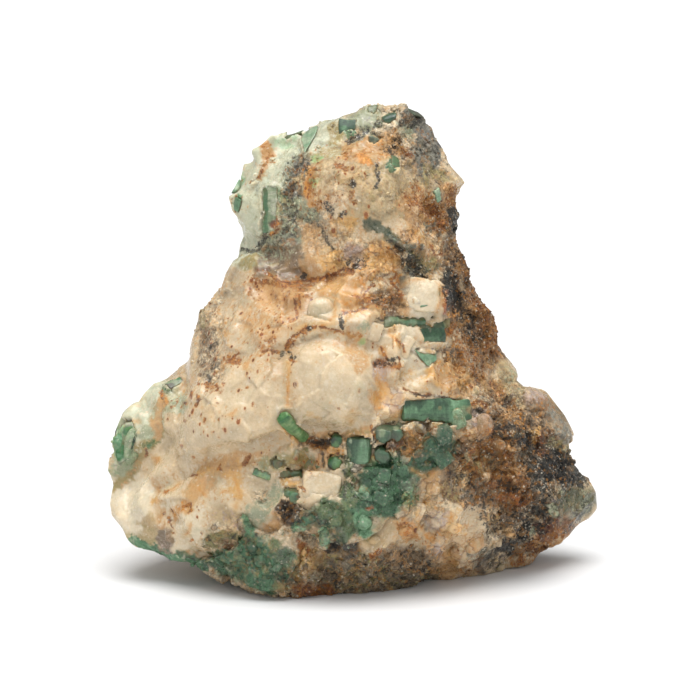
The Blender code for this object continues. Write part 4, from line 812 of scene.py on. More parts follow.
def mineralMaterial(name):
    look = mineralLooks[name]
    material = bpy.data.materials.new(name)
    material.use_nodes = True
    tree = material.node_tree
    surface = tree.nodes["Principled BSDF"]
    coords = addNode(tree, "ShaderNodeTexCoord").outputs["Object"]
    tone = addNode(tree, "ShaderNodeAttribute", attribute_name="tone").outputs["Color"]
    mixed = addNode(tree, "ShaderNodeAttribute", attribute_name="mixed").outputs["Color"]
    share = shareOf(tree, "share")[0]
    own = shareOf(tree, "own")[0]
    rust, dark, honey = shareOf(tree, "stain")
    schist, green, speck = shareOf(tree, "kind")
    cloud = noiseAt(tree, coords, 330, 3, 0.5).outputs[0]
    fine = noiseAt(tree, coords, 1900, 6, 0.75).outputs[0]
    large = noiseAt(tree, shifted(tree, coords, (0.013, 0.007, 0.021)), 620, 9, 0.8).outputs[0]
    small = noiseAt(tree, shifted(tree, coords, (0.031, 0.017, 0.003)), 2300, 5, 0.75).outputs[0]
    other = noiseAt(tree, shifted(tree, coords, (0.043, 0.029, 0.011)), 1500, 7, 0.8).outputs[0]
    mottle = plus(tree, times(tree, large, 0.5), small, 0.5)
    murk = plus(tree, plus(tree, 0.35, other, 0.65), large, -0.35)
    middle, chance = cellsAt(tree, coords, 2600)
    tiny, luck = cellsAt(tree, shifted(tree, coords, (0.02, 0.05, 0.01)), 5200)
    mixing = crisp(tree, sums(tree, "MULTIPLY_ADD", share, 0.7, 0.25), mottle, 6.0, 0.25)
    colour = blendColour(tree, mixing, tone, mixed)
    clean = sums(tree, "SUBTRACT", 1.0, schist)
    warm = noiseAt(tree, shifted(tree, coords, (0.09, 0.01, 0.06)), 260, 5, 0.6).outputs[0]
    colour = blendColour(tree, times(tree, ranged(tree, warm, 0.5, 0.72), clean, look["tint"]), colour, colourOf("honey"))
    colour = blendColour(tree, times(tree, ranged(tree, warm, 0.46, 0.28), clean, look["tint"]), colour, colourOf("greyGreen"))
    honeyCover = crisp(tree, honey, mottle, 4.0, 0.6)
    colour = blendColour(tree, times(tree, honeyCover, 0.6), colour, colourOf("honey"))
    greenCover = crisp(tree, green, mottle, 3.5, 0.15)
    greenTone = blendColour(tree, ranged(tree, cloud, 0.35, 0.65), colourOf("deep"), colourOf("mid"))
    greenTone = blendColour(tree, ranged(tree, fine, 0.45, 0.75), greenTone, colourOf("mint"))
    colour = blendColour(tree, greenCover, colour, greenTone)
    # brightness: soft clouds in the quartz, strong grain by grain in the schist
    swing = plus(tree, plus(tree, 0.72, cloud, 0.56), schist, 0.3)
    bent = noiseAt(tree, coords, 900, 3, 0.6).outputs["Color"]
    bent = addNode(tree, "ShaderNodeVectorMath", {0: bent, "Scale": 0.0011}, operation="SCALE").outputs[0]
    bent = addNode(tree, "ShaderNodeVectorMath", {0: coords, 1: bent}, operation="ADD").outputs[0]
    clastEdge, clast = cellsAt(tree, bent, 1150)
    clastShare = sums(tree, "MAXIMUM", schist, look["clast"])
    swing = plus(tree, swing, times(tree, clastShare, sums(tree, "SUBTRACT", clast[0], 0.5)), 0.9)
    swing = plus(tree, swing, times(tree, clastShare, ranged(tree, clastEdge, 0.45, 0.75)), -0.3)
    grainSwing = sums(tree, "MULTIPLY_ADD", schist, 2.0, look["swing"])
    swing = plus(tree, swing, sums(tree, "SUBTRACT", fine, 0.5), grainSwing)
    cellSwing = sums(tree, "MULTIPLY_ADD", schist, 0.7, look["cells"])
    swing = plus(tree, swing, sums(tree, "SUBTRACT", chance[0], 0.5), cellSwing)
    swing = plus(tree, swing, sums(tree, "SUBTRACT", luck[0], 0.5), cellSwing)
    swing = sums(tree, "ADD", swing, own)
    colour = brightened(tree, colour, sums(tree, "MAXIMUM", swing, 0.15))
    orangeGrain = times(tree, ranged(tree, chance[2], 0.76, 0.8), schist, 0.5)
    colour = blendColour(tree, orangeGrain, colour, colourOf("orange"))
    darkGrain = times(tree, ranged(tree, luck[1], 0.78, 0.82), schist, 0.55)
    colour = blendColour(tree, darkGrain, colour, colourOf("darkSchist"))
    colour = blendColour(tree, times(tree, ranged(tree, clast[1], 0.84, 0.87), schist, 0.5), colour, colourOf("tan"))
    colour = blendColour(tree, times(tree, ranged(tree, clast[2], 0.86, 0.88), schist, 0.5), colour, colourOf("grey"))
    colour = blendColour(tree, times(tree, ranged(tree, clast[1], 0.16, 0.13), schist, 0.55), colour, colourOf("black"))
    # veils: paler threads inside the clear quartz
    veil = noiseAt(tree, shifted(tree, coords, (0.07, 0.02, 0.05), (1, 1, 0.35), (0.4, 0.5, 0.3)), 1100, 6, 0.7).outputs[0]
    veilCover = times(tree, ranged(tree, veil, 0.56, 0.68), clean, 0.45)
    colour = blendColour(tree, veilCover, colour, colourOf(look["veil"]))
    # crazed quartz: lumps of their own tone with rusty seams between them
    crazed = shareOf(tree, "crazed")[0]
    seam = addNode(tree, "ShaderNodeTexVoronoi", {"Vector": bent, "Scale": 640}, feature="DISTANCE_TO_EDGE").outputs["Distance"]
    lump = cellsAt(tree, bent, 640)[1]
    colour = brightened(tree, colour, plus(tree, 1.0, times(tree, crazed, sums(tree, "SUBTRACT", lump[0], 0.45)), 0.55))
    colour = blendColour(tree, times(tree, crazed, ranged(tree, lump[1], 0.6, 0.75), 0.5), colour, colourOf("honey"))
    colour = blendColour(tree, times(tree, crazed, ranged(tree, lump[2], 0.75, 0.85), 0.5), colour, colourOf("ivory"))
    seamCover = times(tree, ranged(tree, plus(tree, seam, other, 0.24), 0.21, 0.13), crazed, 0.65)
    seamTone = blendColour(tree, ranged(tree, large, 0.45, 0.6), colourOf("redBrown"), colourOf("orange"))
    colour = blendColour(tree, seamCover, colour, seamTone)
    # stains: rust in orange haloes, rusty flecks in the quartz, black patches and dark seams; along the neck crease and
    # the boss's lower edge the dark is painted crease shade
    rustCover = crisp(tree, rust, mottle, 6.0, 0.15)
    rustEdge = crisp(tree, rust, mottle, 6.0, 0.8)
    colour = blendColour(tree, times(tree, rustEdge, 0.6), colour, colourOf("orange"))
    rustTone = blendColour(tree, ranged(tree, other, 0.42, 0.62), colourOf("redBrown"), colourOf("rust"))
    rustTone = blendColour(tree, times(tree, ranged(tree, plus(tree, small, luck[2], 0.12), 0.57, 0.66), 0.75), rustTone, colourOf("orange"))
    colour = blendColour(tree, times(tree, rustCover, 0.85), colour, rustTone)
    density = times(tree, speck, ranged(tree, large, 0.42, 0.6, 0.1, 1.0))
    upright = shifted(tree, coords, (0.051, 0.033, 0.027), (1, 1, 0.7))
    colour = fleckLayer(tree, upright, 1200, density, colour)
    colour = fleckLayer(tree, shifted(tree, coords, (0.01, 0.03, 0.02), (1, 1, 0.6)), 2200, density, colour)
    veinRust, veinHoney, veinDark = shareOf(tree, "vein")
    waver = sums(tree, "SUBTRACT", small, 0.5)
    glow = ranged(tree, sums(tree, "MAXIMUM", veinHoney, sums(tree, "MULTIPLY", veinRust, 0.7)), 0.05, 0.9)
    colour = blendColour(tree, times(tree, glow, 0.35), colour, colourOf("honey"))
    broken = ranged(tree, large, 0.4, 0.52, 0.35, 1.0)
    honeyLine = ranged(tree, plus(tree, veinHoney, waver, 1.0), 0.62, 0.9)
    colour = blendColour(tree, times(tree, honeyLine, broken, 0.42), colour, colourOf("orange"))
    rustLine = ranged(tree, plus(tree, veinRust, waver, 1.3), 0.66, 0.84)
    colour = blendColour(tree, times(tree, rustLine, 0.85), colour, rustTone)
    # dark seams, and along the neck crease and the boss's lower edge painted crease shade
    darkSeamAndCreaseShade = ranged(tree, plus(tree, veinDark, waver, 1.2), 0.66, 0.84)
    colour = blendColour(tree, times(tree, darkSeamAndCreaseShade, broken, 0.85), colour, colourOf("darkSchist"))
    # black mica patches, and along the neck crease and the boss's lower edge painted crease shade
    blackPatchAndCreaseShade = crisp(tree, dark, murk, 6.0, 0.2)
    darkTone = blendColour(tree, chance[0], colourOf("black"), colourOf("darkSchist"))
    colour = blendColour(tree, times(tree, blackPatchAndCreaseShade, 0.9), colour, darkTone)
    # painted highlights: sparse single grains in the schist, in the black patches and in the clear quartz are blended
    # toward milk white as glints
    paintedGlint = times(tree, ranged(tree, luck[2], 0.955, 0.97), sums(tree, "MAXIMUM", sums(tree, "MAXIMUM", schist, blackPatchAndCreaseShade), look["glints"]))
    sparkle = times(tree, ranged(tree, luck[1], 0.984, 0.99), clean, 0.8)
    paintedGlint = sums(tree, "MAXIMUM", paintedGlint, sparkle)
    colour = blendColour(tree, times(tree, paintedGlint, 0.75), colour, colourOf("milk"))
    tree.links.new(colour, surface.inputs["Base Color"])
    # gloss: quartz has a soft shine, rust none, and the grains painted white as glints above also get a lower roughness
    rough = sums(tree, "MULTIPLY_ADD", schist, 0.1, look["rough"])
    rough = plus(tree, rough, rustCover, 0.25)
    rough = plus(tree, rough, sums(tree, "SUBTRACT", fine, 0.5), 0.6)
    rough = sums(tree, "MULTIPLY_ADD", paintedGlint, -0.5, rough, clamp=True)
    tree.links.new(rough, surface.inputs["Roughness"])
    height = times(tree, plus(tree, times(tree, small, 0.4), fine, 1.0), sums(tree, "MULTIPLY_ADD", schist, 1.1, look["bump"]))
    height = plus(tree, height, middle, sums(tree, "MULTIPLY", schist, -0.6))
    height = plus(tree, height, rustCover, 0.12)
    normal = addNode(tree, "ShaderNodeNewGeometry").outputs["Normal"]
    normal = facetNormal(tree, bent, 1150, plus(tree, 0.06, schist, 0.4), normal)
    normal = facetNormal(tree, coords, 2300, plus(tree, 0.06, schist, 0.54), normal)
    bump = addNode(tree, "ShaderNodeBump", {"Height": height, "Strength": 0.9, "Distance": 0.0004, "Normal": normal})
    tree.links.new(bump.outputs[0], surface.inputs["Normal"])
    tree.links.new(times(tree, clean, look["subsurface"]), surface.inputs["Subsurface Weight"])
    surface.inputs["Subsurface Radius"].default_value = (1.0, 0.8, 0.6)
    surface.inputs["Subsurface Scale"].default_value = 0.001
    surface.inputs["Transmission Weight"].default_value = look["transmission"]
    surface.inputs["IOR"].default_value = look["ior"]
    surface.inputs["Specular IOR Level"].default_value = 0.4
    return material


def emeraldMaterial(name):
    material = bpy.data.materials.new(name)
    material.use_nodes = True
    tree = material.node_tree
    surface = tree.nodes["Principled BSDF"]
    coords = addNode(tree, "ShaderNodeTexCoord").outputs["Object"]
    grown = addNode(tree, "ShaderNodeAttribute", attribute_name="grown").outputs["Vector"]
    tone = addNode(tree, "ShaderNodeAttribute", attribute_name="tone").outputs["Color"]
    mixed = addNode(tree, "ShaderNodeAttribute", attribute_name="mixed").outputs["Color"]
    share, foot = shareOf(tree, "share")[0], shareOf(tree, "foot")[0]
    cloud = noiseAt(tree, coords, 900, 4, 0.6).outputs[0]
    fine = noiseAt(tree, coords, 3400, 5, 0.75).outputs[0]
    threads = noiseAt(tree, shifted(tree, grown, (0, 0, 0), (0.12, 1, 1)), 3600, 3, 0.7).outputs[0]
    growth = noiseAt(tree, shifted(tree, grown, (0.1, 0, 0), (1, 0.15, 0.15)), 1300, 3, 0.7).outputs[0]
    depth = plus(tree, times(tree, cloud, 0.55), growth, 0.45)
    colour = blendColour(tree, crisp(tree, sums(tree, "MULTIPLY_ADD", share, 0.7, 0.25), depth, 7.0, 0.6), tone, mixed)
    swing = plus(tree, plus(tree, -0.45, threads, 1.1), fine, 0.9)
    swing = plus(tree, swing, depth, 0.9)
    rungs = noiseAt(tree, shifted(tree, grown, (0.2, 0.1, 0), (1, 0.1, 0.1)), 4200, 3, 0.8).outputs[0]
    swing = plus(tree, swing, sums(tree, "SUBTRACT", rungs, 0.5), 0.9)
    colour = brightened(tree, colour, sums(tree, "MAXIMUM", swing, 0.3))
    crack = noiseAt(tree, shifted(tree, grown, (0.3, 0.1, 0), (1, 0.3, 0.3)), 2600, 2, 0.5).outputs[0]
    crack = ranged(tree, sums(tree, "ABSOLUTE", sums(tree, "SUBTRACT", crack, 0.5)), 0.02, 0.0)
    colour = blendColour(tree, times(tree, crack, 0.4), colour, colourOf("darkGreen"))
    frost = ranged(tree, fine, 0.62, 0.72)
    colour = blendColour(tree, times(tree, frost, 0.5), colour, colourOf("palest"))
    dirt = ranged(tree, plus(tree, plus(tree, -0.7, foot, 0.9), fine, 1.1), 0.0, 0.35)
    dirtTone = blendColour(tree, ranged(tree, cloud, 0.4, 0.6), colourOf("rust"), colourOf("olive"))
    colour = blendColour(tree, times(tree, dirt, 0.4), colour, dirtTone)
    tree.links.new(colour, surface.inputs["Base Color"])
    rough = sums(tree, "MULTIPLY_ADD", fine, 0.5, 0.1)
    rough = plus(tree, rough, dirt, 0.3)
    tree.links.new(rough, surface.inputs["Roughness"])
    height = plus(tree, times(tree, fine, 0.6), threads, 0.8)
    bump = addNode(tree, "ShaderNodeBump", {"Height": height, "Strength": 0.4, "Distance": 0.00012})
    tree.links.new(bump.outputs[0], surface.inputs["Normal"])
    surface.inputs["IOR"].default_value = 1.58
    surface.inputs["Transmission Weight"].default_value = 0.18
    surface.inputs["Subsurface Weight"].default_value = 0.35
    surface.inputs["Subsurface Radius"].default_value = (0.6, 1.0, 0.7)
    surface.inputs["Subsurface Scale"].default_value = 0.0004
    return material


# ---- the band of emerald across the foot

bandSizes = {"voxel": 0.2, "swell": 0.34, "soften": 3, "facet": (1.7, 0.26), "bead": (0.8, 0.08)}


def makeBand():
    shape = copyOf(["emerald_mass"])
    swollen(shape, bandSizes["swell"] * mm)
    band = newPiece("emerald_band", shape)
    even = band.modifiers.new("even", "REMESH")
    even.mode, even.voxel_size = "VOXEL", bandSizes["voxel"] * mm
    soft = band.modifiers.new("soft", "SMOOTH")
    soft.factor, soft.iterations = 0.5, bandSizes["soften"]
    settle(band)
    writePoints(band.data, pushedOut(readMesh(band.data)[0]))
    places, facing = readMesh(band.data)
    rise = bandSizes["facet"][1] * chipField(places, bandSizes["facet"][0], 9.1)
    inside, chance = cellField(places, bandSizes["bead"][0], 2.2)
    rise += bandSizes["bead"][1] * (1.6 * np.minimum(inside, 0.5) + chance - 0.9)
    places += facing * rise[:, None]
    places[:, 2] = np.maximum(places[:, 2], 0)
    writePoints(band.data, places)
    tone, fields, front = lookOf(places, facing)
    paintPiece(band, tone, fields)
    shaded(band)
    return band


# ---- the single crystals

crystalSizes = {"voxel": 0.13, "soften": 2, "facet": (0.9, 0.05), "swell": 0.06, "wave": (1.6, 0.05), "proud": 0.3, "shade": 0.93}
proudest = {"emerald_stub": 0.65, "emerald_light_prism": 0.35, "emerald_dark_end": 0.8, "emerald_round_end": 0.9, "emerald_twin_ends": 0.8, "emerald_upper_chip": 0.6,  # mm above the stone
            "emerald_vivid_end": 0.8, "emerald_upper_bar": 0.6, "emerald_grey_pair": 0.6, "emerald_low_pair": 0.6, "emerald_dark_wedge": 0.5, "emerald_bright_chip": 0.5, "emerald_shoulder_prism": 0.2, "emerald_crown_left": 0.1, "emerald_crown_right": 0.1}
# The greens of each crystal as strokes on the photograph; the first one covers all of it.
crystalPaint = {
    "emerald_stub": [("spring", "leaf", 0.4, 60, (290, 428)), ("vivid", "spring", 0.5, 6, (284, 418))],
    "emerald_dark_end": [("darkGreen", "vivid", 0.5, 60, (337, 440)), ("spring", "vivid", 0.4, 4, (336, 446))],
    # light prism: the deep ground is painted as its shaded left face, the mint stroke as its lit right face, and the
    # palest dot at its top is a painted highlight
    "emerald_light_prism": [("deep", "sea", 0.5, 60, (355, 450)), ("mint", "mid", 0.35, 7, (367, 442), (364, 460)), ("palest", "mint", 0.4, 2, (350, 441))],
    "emerald_twin_ends": [("greenGrey", "sea", 0.5, 60, (385, 432)), ("greyGreen", "glass", 0.4, 4, (382, 433)), ("glass", "greyGreen", 0.4, 3, (396, 428))],
    "emerald_round_end": [("sea", "greenGrey", 0.5, 60, (382, 452)), ("mid", "sea", 0.5, 4, (384, 450))],
    # vivid end: the dark green ground is painted shade on its left side, and the spring stroke is its lit right side
    "emerald_vivid_end": [("darkGreen", "vivid", 0.55, 60, (330, 460)), ("spring", "mint", 0.3, 5, (338, 460), (337, 466))],
    "emerald_bright_chip": [("mint", "leaf", 0.5, 60, (262, 474)), ("mid", "spring", 0.5, 3, (256, 472))],
    "emerald_long_prism": [("sea", "mid", 0.4, 80, (430, 410)), ("deep", "sea", 0.5, 6, (405, 403), (440, 404)), ("mid", "mint", 0.4, 5, (404, 413), (412, 410)),
                           ("mid", "sea", 0.4, 4, (424, 412), (430, 404)), ("mid", "mint", 0.4, 7, (456, 406), (454, 418)), ("glass", "moss", 0.5, 5, (464, 410)), ("oliveTan", "moss", 0.5, 2, (440, 408)), ("oliveTan", "brown", 0.5, 5, (472, 410))],
    "emerald_grey_pair": [("moss", "sea", 0.5, 60, (292, 473))], "emerald_low_pair": [("mid", "moss", 0.4, 60, (292, 494)), ("deep", "sea", 0.5, 3, (297, 498))],
    "emerald_dark_wedge": [("greenGrey", "moss", 0.5, 60, (277, 462))],
    # upper bar: the mint and palest stroke at its right end is a painted highlight for its whitish sheen
    "emerald_upper_bar": [("mid", "glass", 0.5, 60, (400, 322)), ("glass", "greyGreen", 0.4, 6, (385, 322)), ("mint", "palest", 0.4, 4, (412, 322))],
    "emerald_upper_block": [("deep", "sea", 0.4, 60, (430, 332)), ("moss", "deep", 0.5, 5, (420, 322), (442, 322)), ("mid", "sea", 0.4, 4, (424, 341), (436, 340))],
    "emerald_upper_chip": [("mint", "palest", 0.4, 60, (426, 357)), ("mid", "mint", 0.5, 3, (418, 352), (432, 350))],
    "emerald_shoulder_prism": [("glass", "paleGreen", 0.5, 60, (272, 210)), ("mid", "moss", 0.4, 2.5, (265, 190), (266, 236)), ("paleGreen", "glass", 0.3, 4, (275, 200), (275, 212)),
                               ("brown", "rust", 0.5, 4, (274, 224))],
    "emerald_crown_hex": [("deep", "sea", 0.5, 60, (389, 120))], "emerald_slope_chip": [("palest", "mint", 0.5, 60, (309, 142))],
    "emerald_right_chip": [("mint", "palest", 0.4, 60, (436, 194)), ("sea", "moss", 0.5, 2, (432, 190), (433, 200))],
    "emerald_head_chip": [("moss", "mid", 0.5, 60, (394, 164))], "emerald_crown_edge": [("deep", "sea", 0.5, 60, (349, 131)), ("mid", "mint", 0.4, 3, (344, 128))],
    "emerald_crown_left": [("moss", "glass", 0.5, 60, (294, 136))], "emerald_crown_peak": [("moss", "greyGreen", 0.45, 60, (372, 112))],
    "emerald_crown_right": [("greySchist", "greenGrey", 0.5, 60, (411, 115))], "emerald_grey_end": [("greenGrey", "greyGreen", 0.4, 60, (373, 140))],
    "emerald_left_patch": [("glass", "paleGreen", 0.45, 60, (125, 440)), ("vivid", "mid", 0.4, 5, (122, 446), (119, 456)), ("mint", "palest", 0.4, 5, (114, 440)),
                           ("mid", "spring", 0.5, 4, (126, 432), (132, 430)), ("darkGreen", "sea", 0.4, 2, (133, 436), (133, 448))],
    "emerald_rim_buds": [("mint", "palest", 0.4, 60, (240, 187)), ("mid", "spring", 0.5, 2, (235, 184))], "emerald_rim_chip": [("mid", "mint", 0.45, 60, (240, 205))],
    "emerald_ear": [("glass", "greyGreen", 0.5, 60, (175, 385)), ("vivid", "mint", 0.4, 4, (170, 376), (180, 376)), ("greySchist", "moss", 0.5, 3, (164, 388), (172, 386))],
}


def growthOf(places):  # each point along and across the crystal's own long axis, in metres
    offset = places - places.mean(axis=0)
    axes = np.linalg.svd(offset.T @ offset)[0]
    return offset @ axes * mm


def makeCrystal(name, ground):
    shape = copyOf([name])
    swollen(shape, crystalSizes["swell"] * mm)
    crystal = newPiece(name.replace("emerald_", "crystal_"), shape)
    even = crystal.modifiers.new("even", "REMESH")
    even.mode, even.voxel_size = "VOXEL", crystalSizes["voxel"] * mm
    soft = crystal.modifiers.new("soft", "SMOOTH")
    soft.factor, soft.iterations = 0.5, crystalSizes["soften"]
    settle(crystal)
    writePoints(crystal.data, pushedOut(readMesh(crystal.data)[0]))
    places, facing = readMesh(crystal.data)
    rise = crystalSizes["facet"][1] * chipField(places, crystalSizes["facet"][0], 4.4)
    rise += crystalSizes["wave"][1] * roughField(places, crystalSizes["wave"][0], 3, 6.6)
    places += facing * rise[:, None]
    near = [ground.find_nearest(Vector(place) * mm) for place in places]
    beds = np.array([hit[0] for hit in near]) / mm
    middle = beds.mean(axis=0)
    outward = np.linalg.svd((beds - middle).T @ (beds - middle))[0][:, 2]
    outward *= np.sign(outward @ np.sum([hit[1] for hit in near], axis=0))
    above = (places - middle) @ outward - proudest.get(name, crystalSizes["proud"])
    places -= outward * (0.75 * np.maximum(above, 0))[:, None]
    writePoints(crystal.data, places)
    layer = crystal.data.attributes.new("grown", "FLOAT_VECTOR", "POINT")
    layer.data.foreach_set("vector", growthOf(places).astype(np.float32).ravel())
    ragged = np.stack([roughField(places, 0.8, 3, 5.9), roughField(places, 0.8, 3, 83.7)], axis=1)
    tone = paintedTone(onPicture(places) + 1.2 * ragged, crystalPaint[name], 0.3)
    writeColours(crystal.data, "tone", crystalSizes["shade"] * tone[:, :3])
    writeColours(crystal.data, "mixed", crystalSizes["shade"] * tone[:, 3:6])
    writeColours(crystal.data, "share", tone[:, 6:7])
    gaps = np.array([hit[3] for hit in near]) / mm
    writeColours(crystal.data, "foot", ease(1 - gaps / 0.25)[:, None])
    shaded(crystal)
    return crystal


# ---- loose grains, flakes and lumps that sit on the stone


def treeOf(*pieces):
    shape = bmesh.new()
    for piece in pieces:
        shape.from_mesh(piece.data)
    tree = BVHTree.FromBMesh(shape)
    shape.free()
    return tree


def grainForm(kind):  # the points and faces of one grain, about 1 mm across
    shape = bmesh.new()
    if kind == "crumb":
        bmesh.ops.create_icosphere(shape, subdivisions=1, radius=0.5)
    elif kind == "flake":
        bmesh.ops.create_cone(shape, cap_ends=True, segments=6, radius1=0.5, radius2=0.42, depth=0.16)
    elif kind == "splinter":
        bmesh.ops.create_cone(shape, cap_ends=True, segments=5, radius1=0.3, radius2=0.24, depth=1.3)
    else:
        bmesh.ops.create_cube(shape, size=0.8)
        bmesh.ops.bevel(shape, geom=shape.edges[:], offset=0.16, offset_type="OFFSET", segments=1,
                        profile=0.5, affect="EDGES", material=-1)
    shape.verts.index_update()
    points = np.array([vert.co for vert in shape.verts])
    faces = [[vert.index for vert in face.verts] for face in shape.faces]
    shape.free()
    return points, faces


def scattered(piece, count, weight, random):  # places on a piece, close together where the weight is high
    mesh = piece.data
    mesh.calc_loop_triangles()
    corners = np.empty(len(mesh.loop_triangles) * 3, np.int32)
    mesh.loop_triangles.foreach_get("vertices", corners)
    corners = corners.reshape(-1, 3)
    places, facing = readMesh(mesh)
    sides = places[corners[:, 1]] - places[corners[:, 0]], places[corners[:, 2]] - places[corners[:, 0]]
    odds = np.linalg.norm(np.cross(*sides), axis=1) * weight[corners].mean(axis=1)
    picks = corners[random.choice(len(corners), count, p=odds / odds.sum())]
    blend = random.dirichlet((1, 1, 1), count)[:, :, None]
    ways = (facing[picks] * blend).sum(axis=1)
    return (places[picks] * blend).sum(axis=1), ways / np.linalg.norm(ways, axis=1)[:, None]


def turnsOf(ways, lean, random):  # for each grain its three axes: the last leans away from the surface's way
    tall = ways + lean * random.normal(size=ways.shape)
    tall /= np.linalg.norm(tall, axis=1)[:, None]
    side = np.cross(tall, random.normal(size=ways.shape))
    side /= np.linalg.norm(side, axis=1)[:, None]
    return np.stack([side, np.cross(tall, side), tall], axis=2)


def grainPiece(name, seeds, sizes, kind, lean, lift, random):  # sizes has three numbers in mm for each grain
    spots, ways = seeds
    points, faces = grainForm(kind)
    shaped = points[None] * sizes[:, None] * (1 + 0.16 * random.normal(size=(len(spots), len(points), 3)))
    turned = np.einsum("nij,nkj->nki", turnsOf(ways, lean, random), shaped)
    turned += (spots + ways * (lift * sizes.min(axis=1))[:, None])[:, None]
    places = turned.reshape(-1, 3)
    places[:, 2] = np.maximum(places[:, 2], 0.01)
    mesh = bpy.data.meshes.new(name)
    faceList = [[index * len(points) + corner for corner in face] for index in range(len(spots)) for face in faces]
    mesh.from_pydata(places * mm, [], faceList)
    piece = bpy.data.objects.new(name, mesh)
    bpy.context.scene.collection.objects.link(piece)
    tone, fields, front = lookOf(spots, ways)
    paintPiece(piece, np.repeat(tone, len(points), axis=0), {key: np.repeat(value, len(points)) for key, value in fields.items()})
    writeColours(mesh, "own", np.repeat(random.normal(0, 0.22, len(spots)), len(points))[:, None])
    shaded(piece, False)
    return piece


def spread(random, count, low, high):  # sizes between low and high, the small ones more often
    return low + (high - low) * random.random(count) ** 2.2


grainSizes = {
    "schist_grains": {"count": 9000, "kind": "crumb", "size": (0.2, 0.55), "lean": 9, "lift": -0.2, "seed": 11},
    "mica_flakes": {"count": 3600, "kind": "flake", "size": (0.22, 0.5), "lean": 0.2, "lift": -0.1, "seed": 12},
    "quartz_grains": {"count": 900, "kind": "block", "size": (0.4, 1.2), "lean": 9, "lift": -0.25, "seed": 13},
    "emerald_grains": {"count": 2600, "kind": "crumb", "size": (0.2, 0.6), "lean": 9, "lift": -0.2, "seed": 14},
}


def makeGrains(name, ground, weight):
    sizes = grainSizes[name]
    random = np.random.default_rng(sizes["seed"])
    seeds = scattered(ground, sizes["count"], weight, random)
    across = spread(random, sizes["count"], *sizes["size"])[:, None] * random.uniform(0.7, 1.3, (sizes["count"], 3))
    return grainPiece(name, seeds, across, sizes["kind"], sizes["lean"], sizes["lift"], random)


def sightLine(x, y):  # from the photographer's eye through a place on the picture
    ahead, up, eye = viewAxes()
    reach = photoView["lens"] / 36 * photoView["picture"]
    half = photoView["picture"] / 2
    way = ahead + np.array([1, 0, 0]) * (x - half) / reach + up * (half - y) / reach
    return Vector(eye) * mm, Vector(way).normalized()


# Lumps: shape, place on the picture, width, height and depth in its pixels, turn in degrees, and three paints.
quartzLumps = [
    ("block", 322, 487, 44, 36, 20, 6, "cream", "ivory", 0.5), ("block", 432, 485, 16, 22, 14, -12, "tan", "cream", 0.5),
    ("block", 418, 512, 14, 21, 12, 24, "cream", "tan", 0.4), ("bead", 374, 539, 14, 11, 10, 0, "beige", "cream", 0.4),
    ("bead", 436, 521, 20, 14, 12, 10, "cream", "lilac", 0.5), ("bead", 484, 426, 20, 25, 16, 0, "greyBrown", "lilac", 0.5),
    ("bead", 455, 527, 17, 15, 12, 0, "cream", "honey", 0.4), ("bead", 474, 541, 21, 26, 14, 12, "tan", "beige", 0.4),
    ("bead", 458, 553, 20, 15, 12, 30, "tan", "beige", 0.5), ("bead", 405, 530, 17, 15, 12, 0, "tan", "orange", 0.5),
    ("block", 498, 541, 9, 14, 8, 0, "cream", "tan", 0.4), ("bead", 500, 567, 12, 9, 8, 0, "beige", "lilac", 0.4),
    ("bead", 476, 391, 9, 12, 8, 0, "beige", "grey", 0.3), ("bead", 461, 394, 8, 8, 7, 0, "greyBrown", "beige", 0.3), ("bead", 486, 476, 9, 8, 8, 0, "cream", "lilac", 0.4),
    ("bead", 555, 513, 8, 8, 7, 0, "greyGreen", "grey", 0.3), ("bead", 510, 534, 11, 8, 8, 0, "tan", "beige", 0.4), ("bead", 501, 445, 12, 12, 8, 0, "darkSchist", "grey", 0.3),
    ("block", 423, 295, 38, 38, 12, 8, "ivory", "cream", 0.5), ("block", 404, 348, 17, 30, 12, 28, "cream", "ivory", 0.5),
    ("block", 374, 331, 20, 22, 12, 20, "cream", "ivory", 0.5), ("bead", 321, 310, 30, 26, 12, 0, "slab", "cream", 0.5),
]
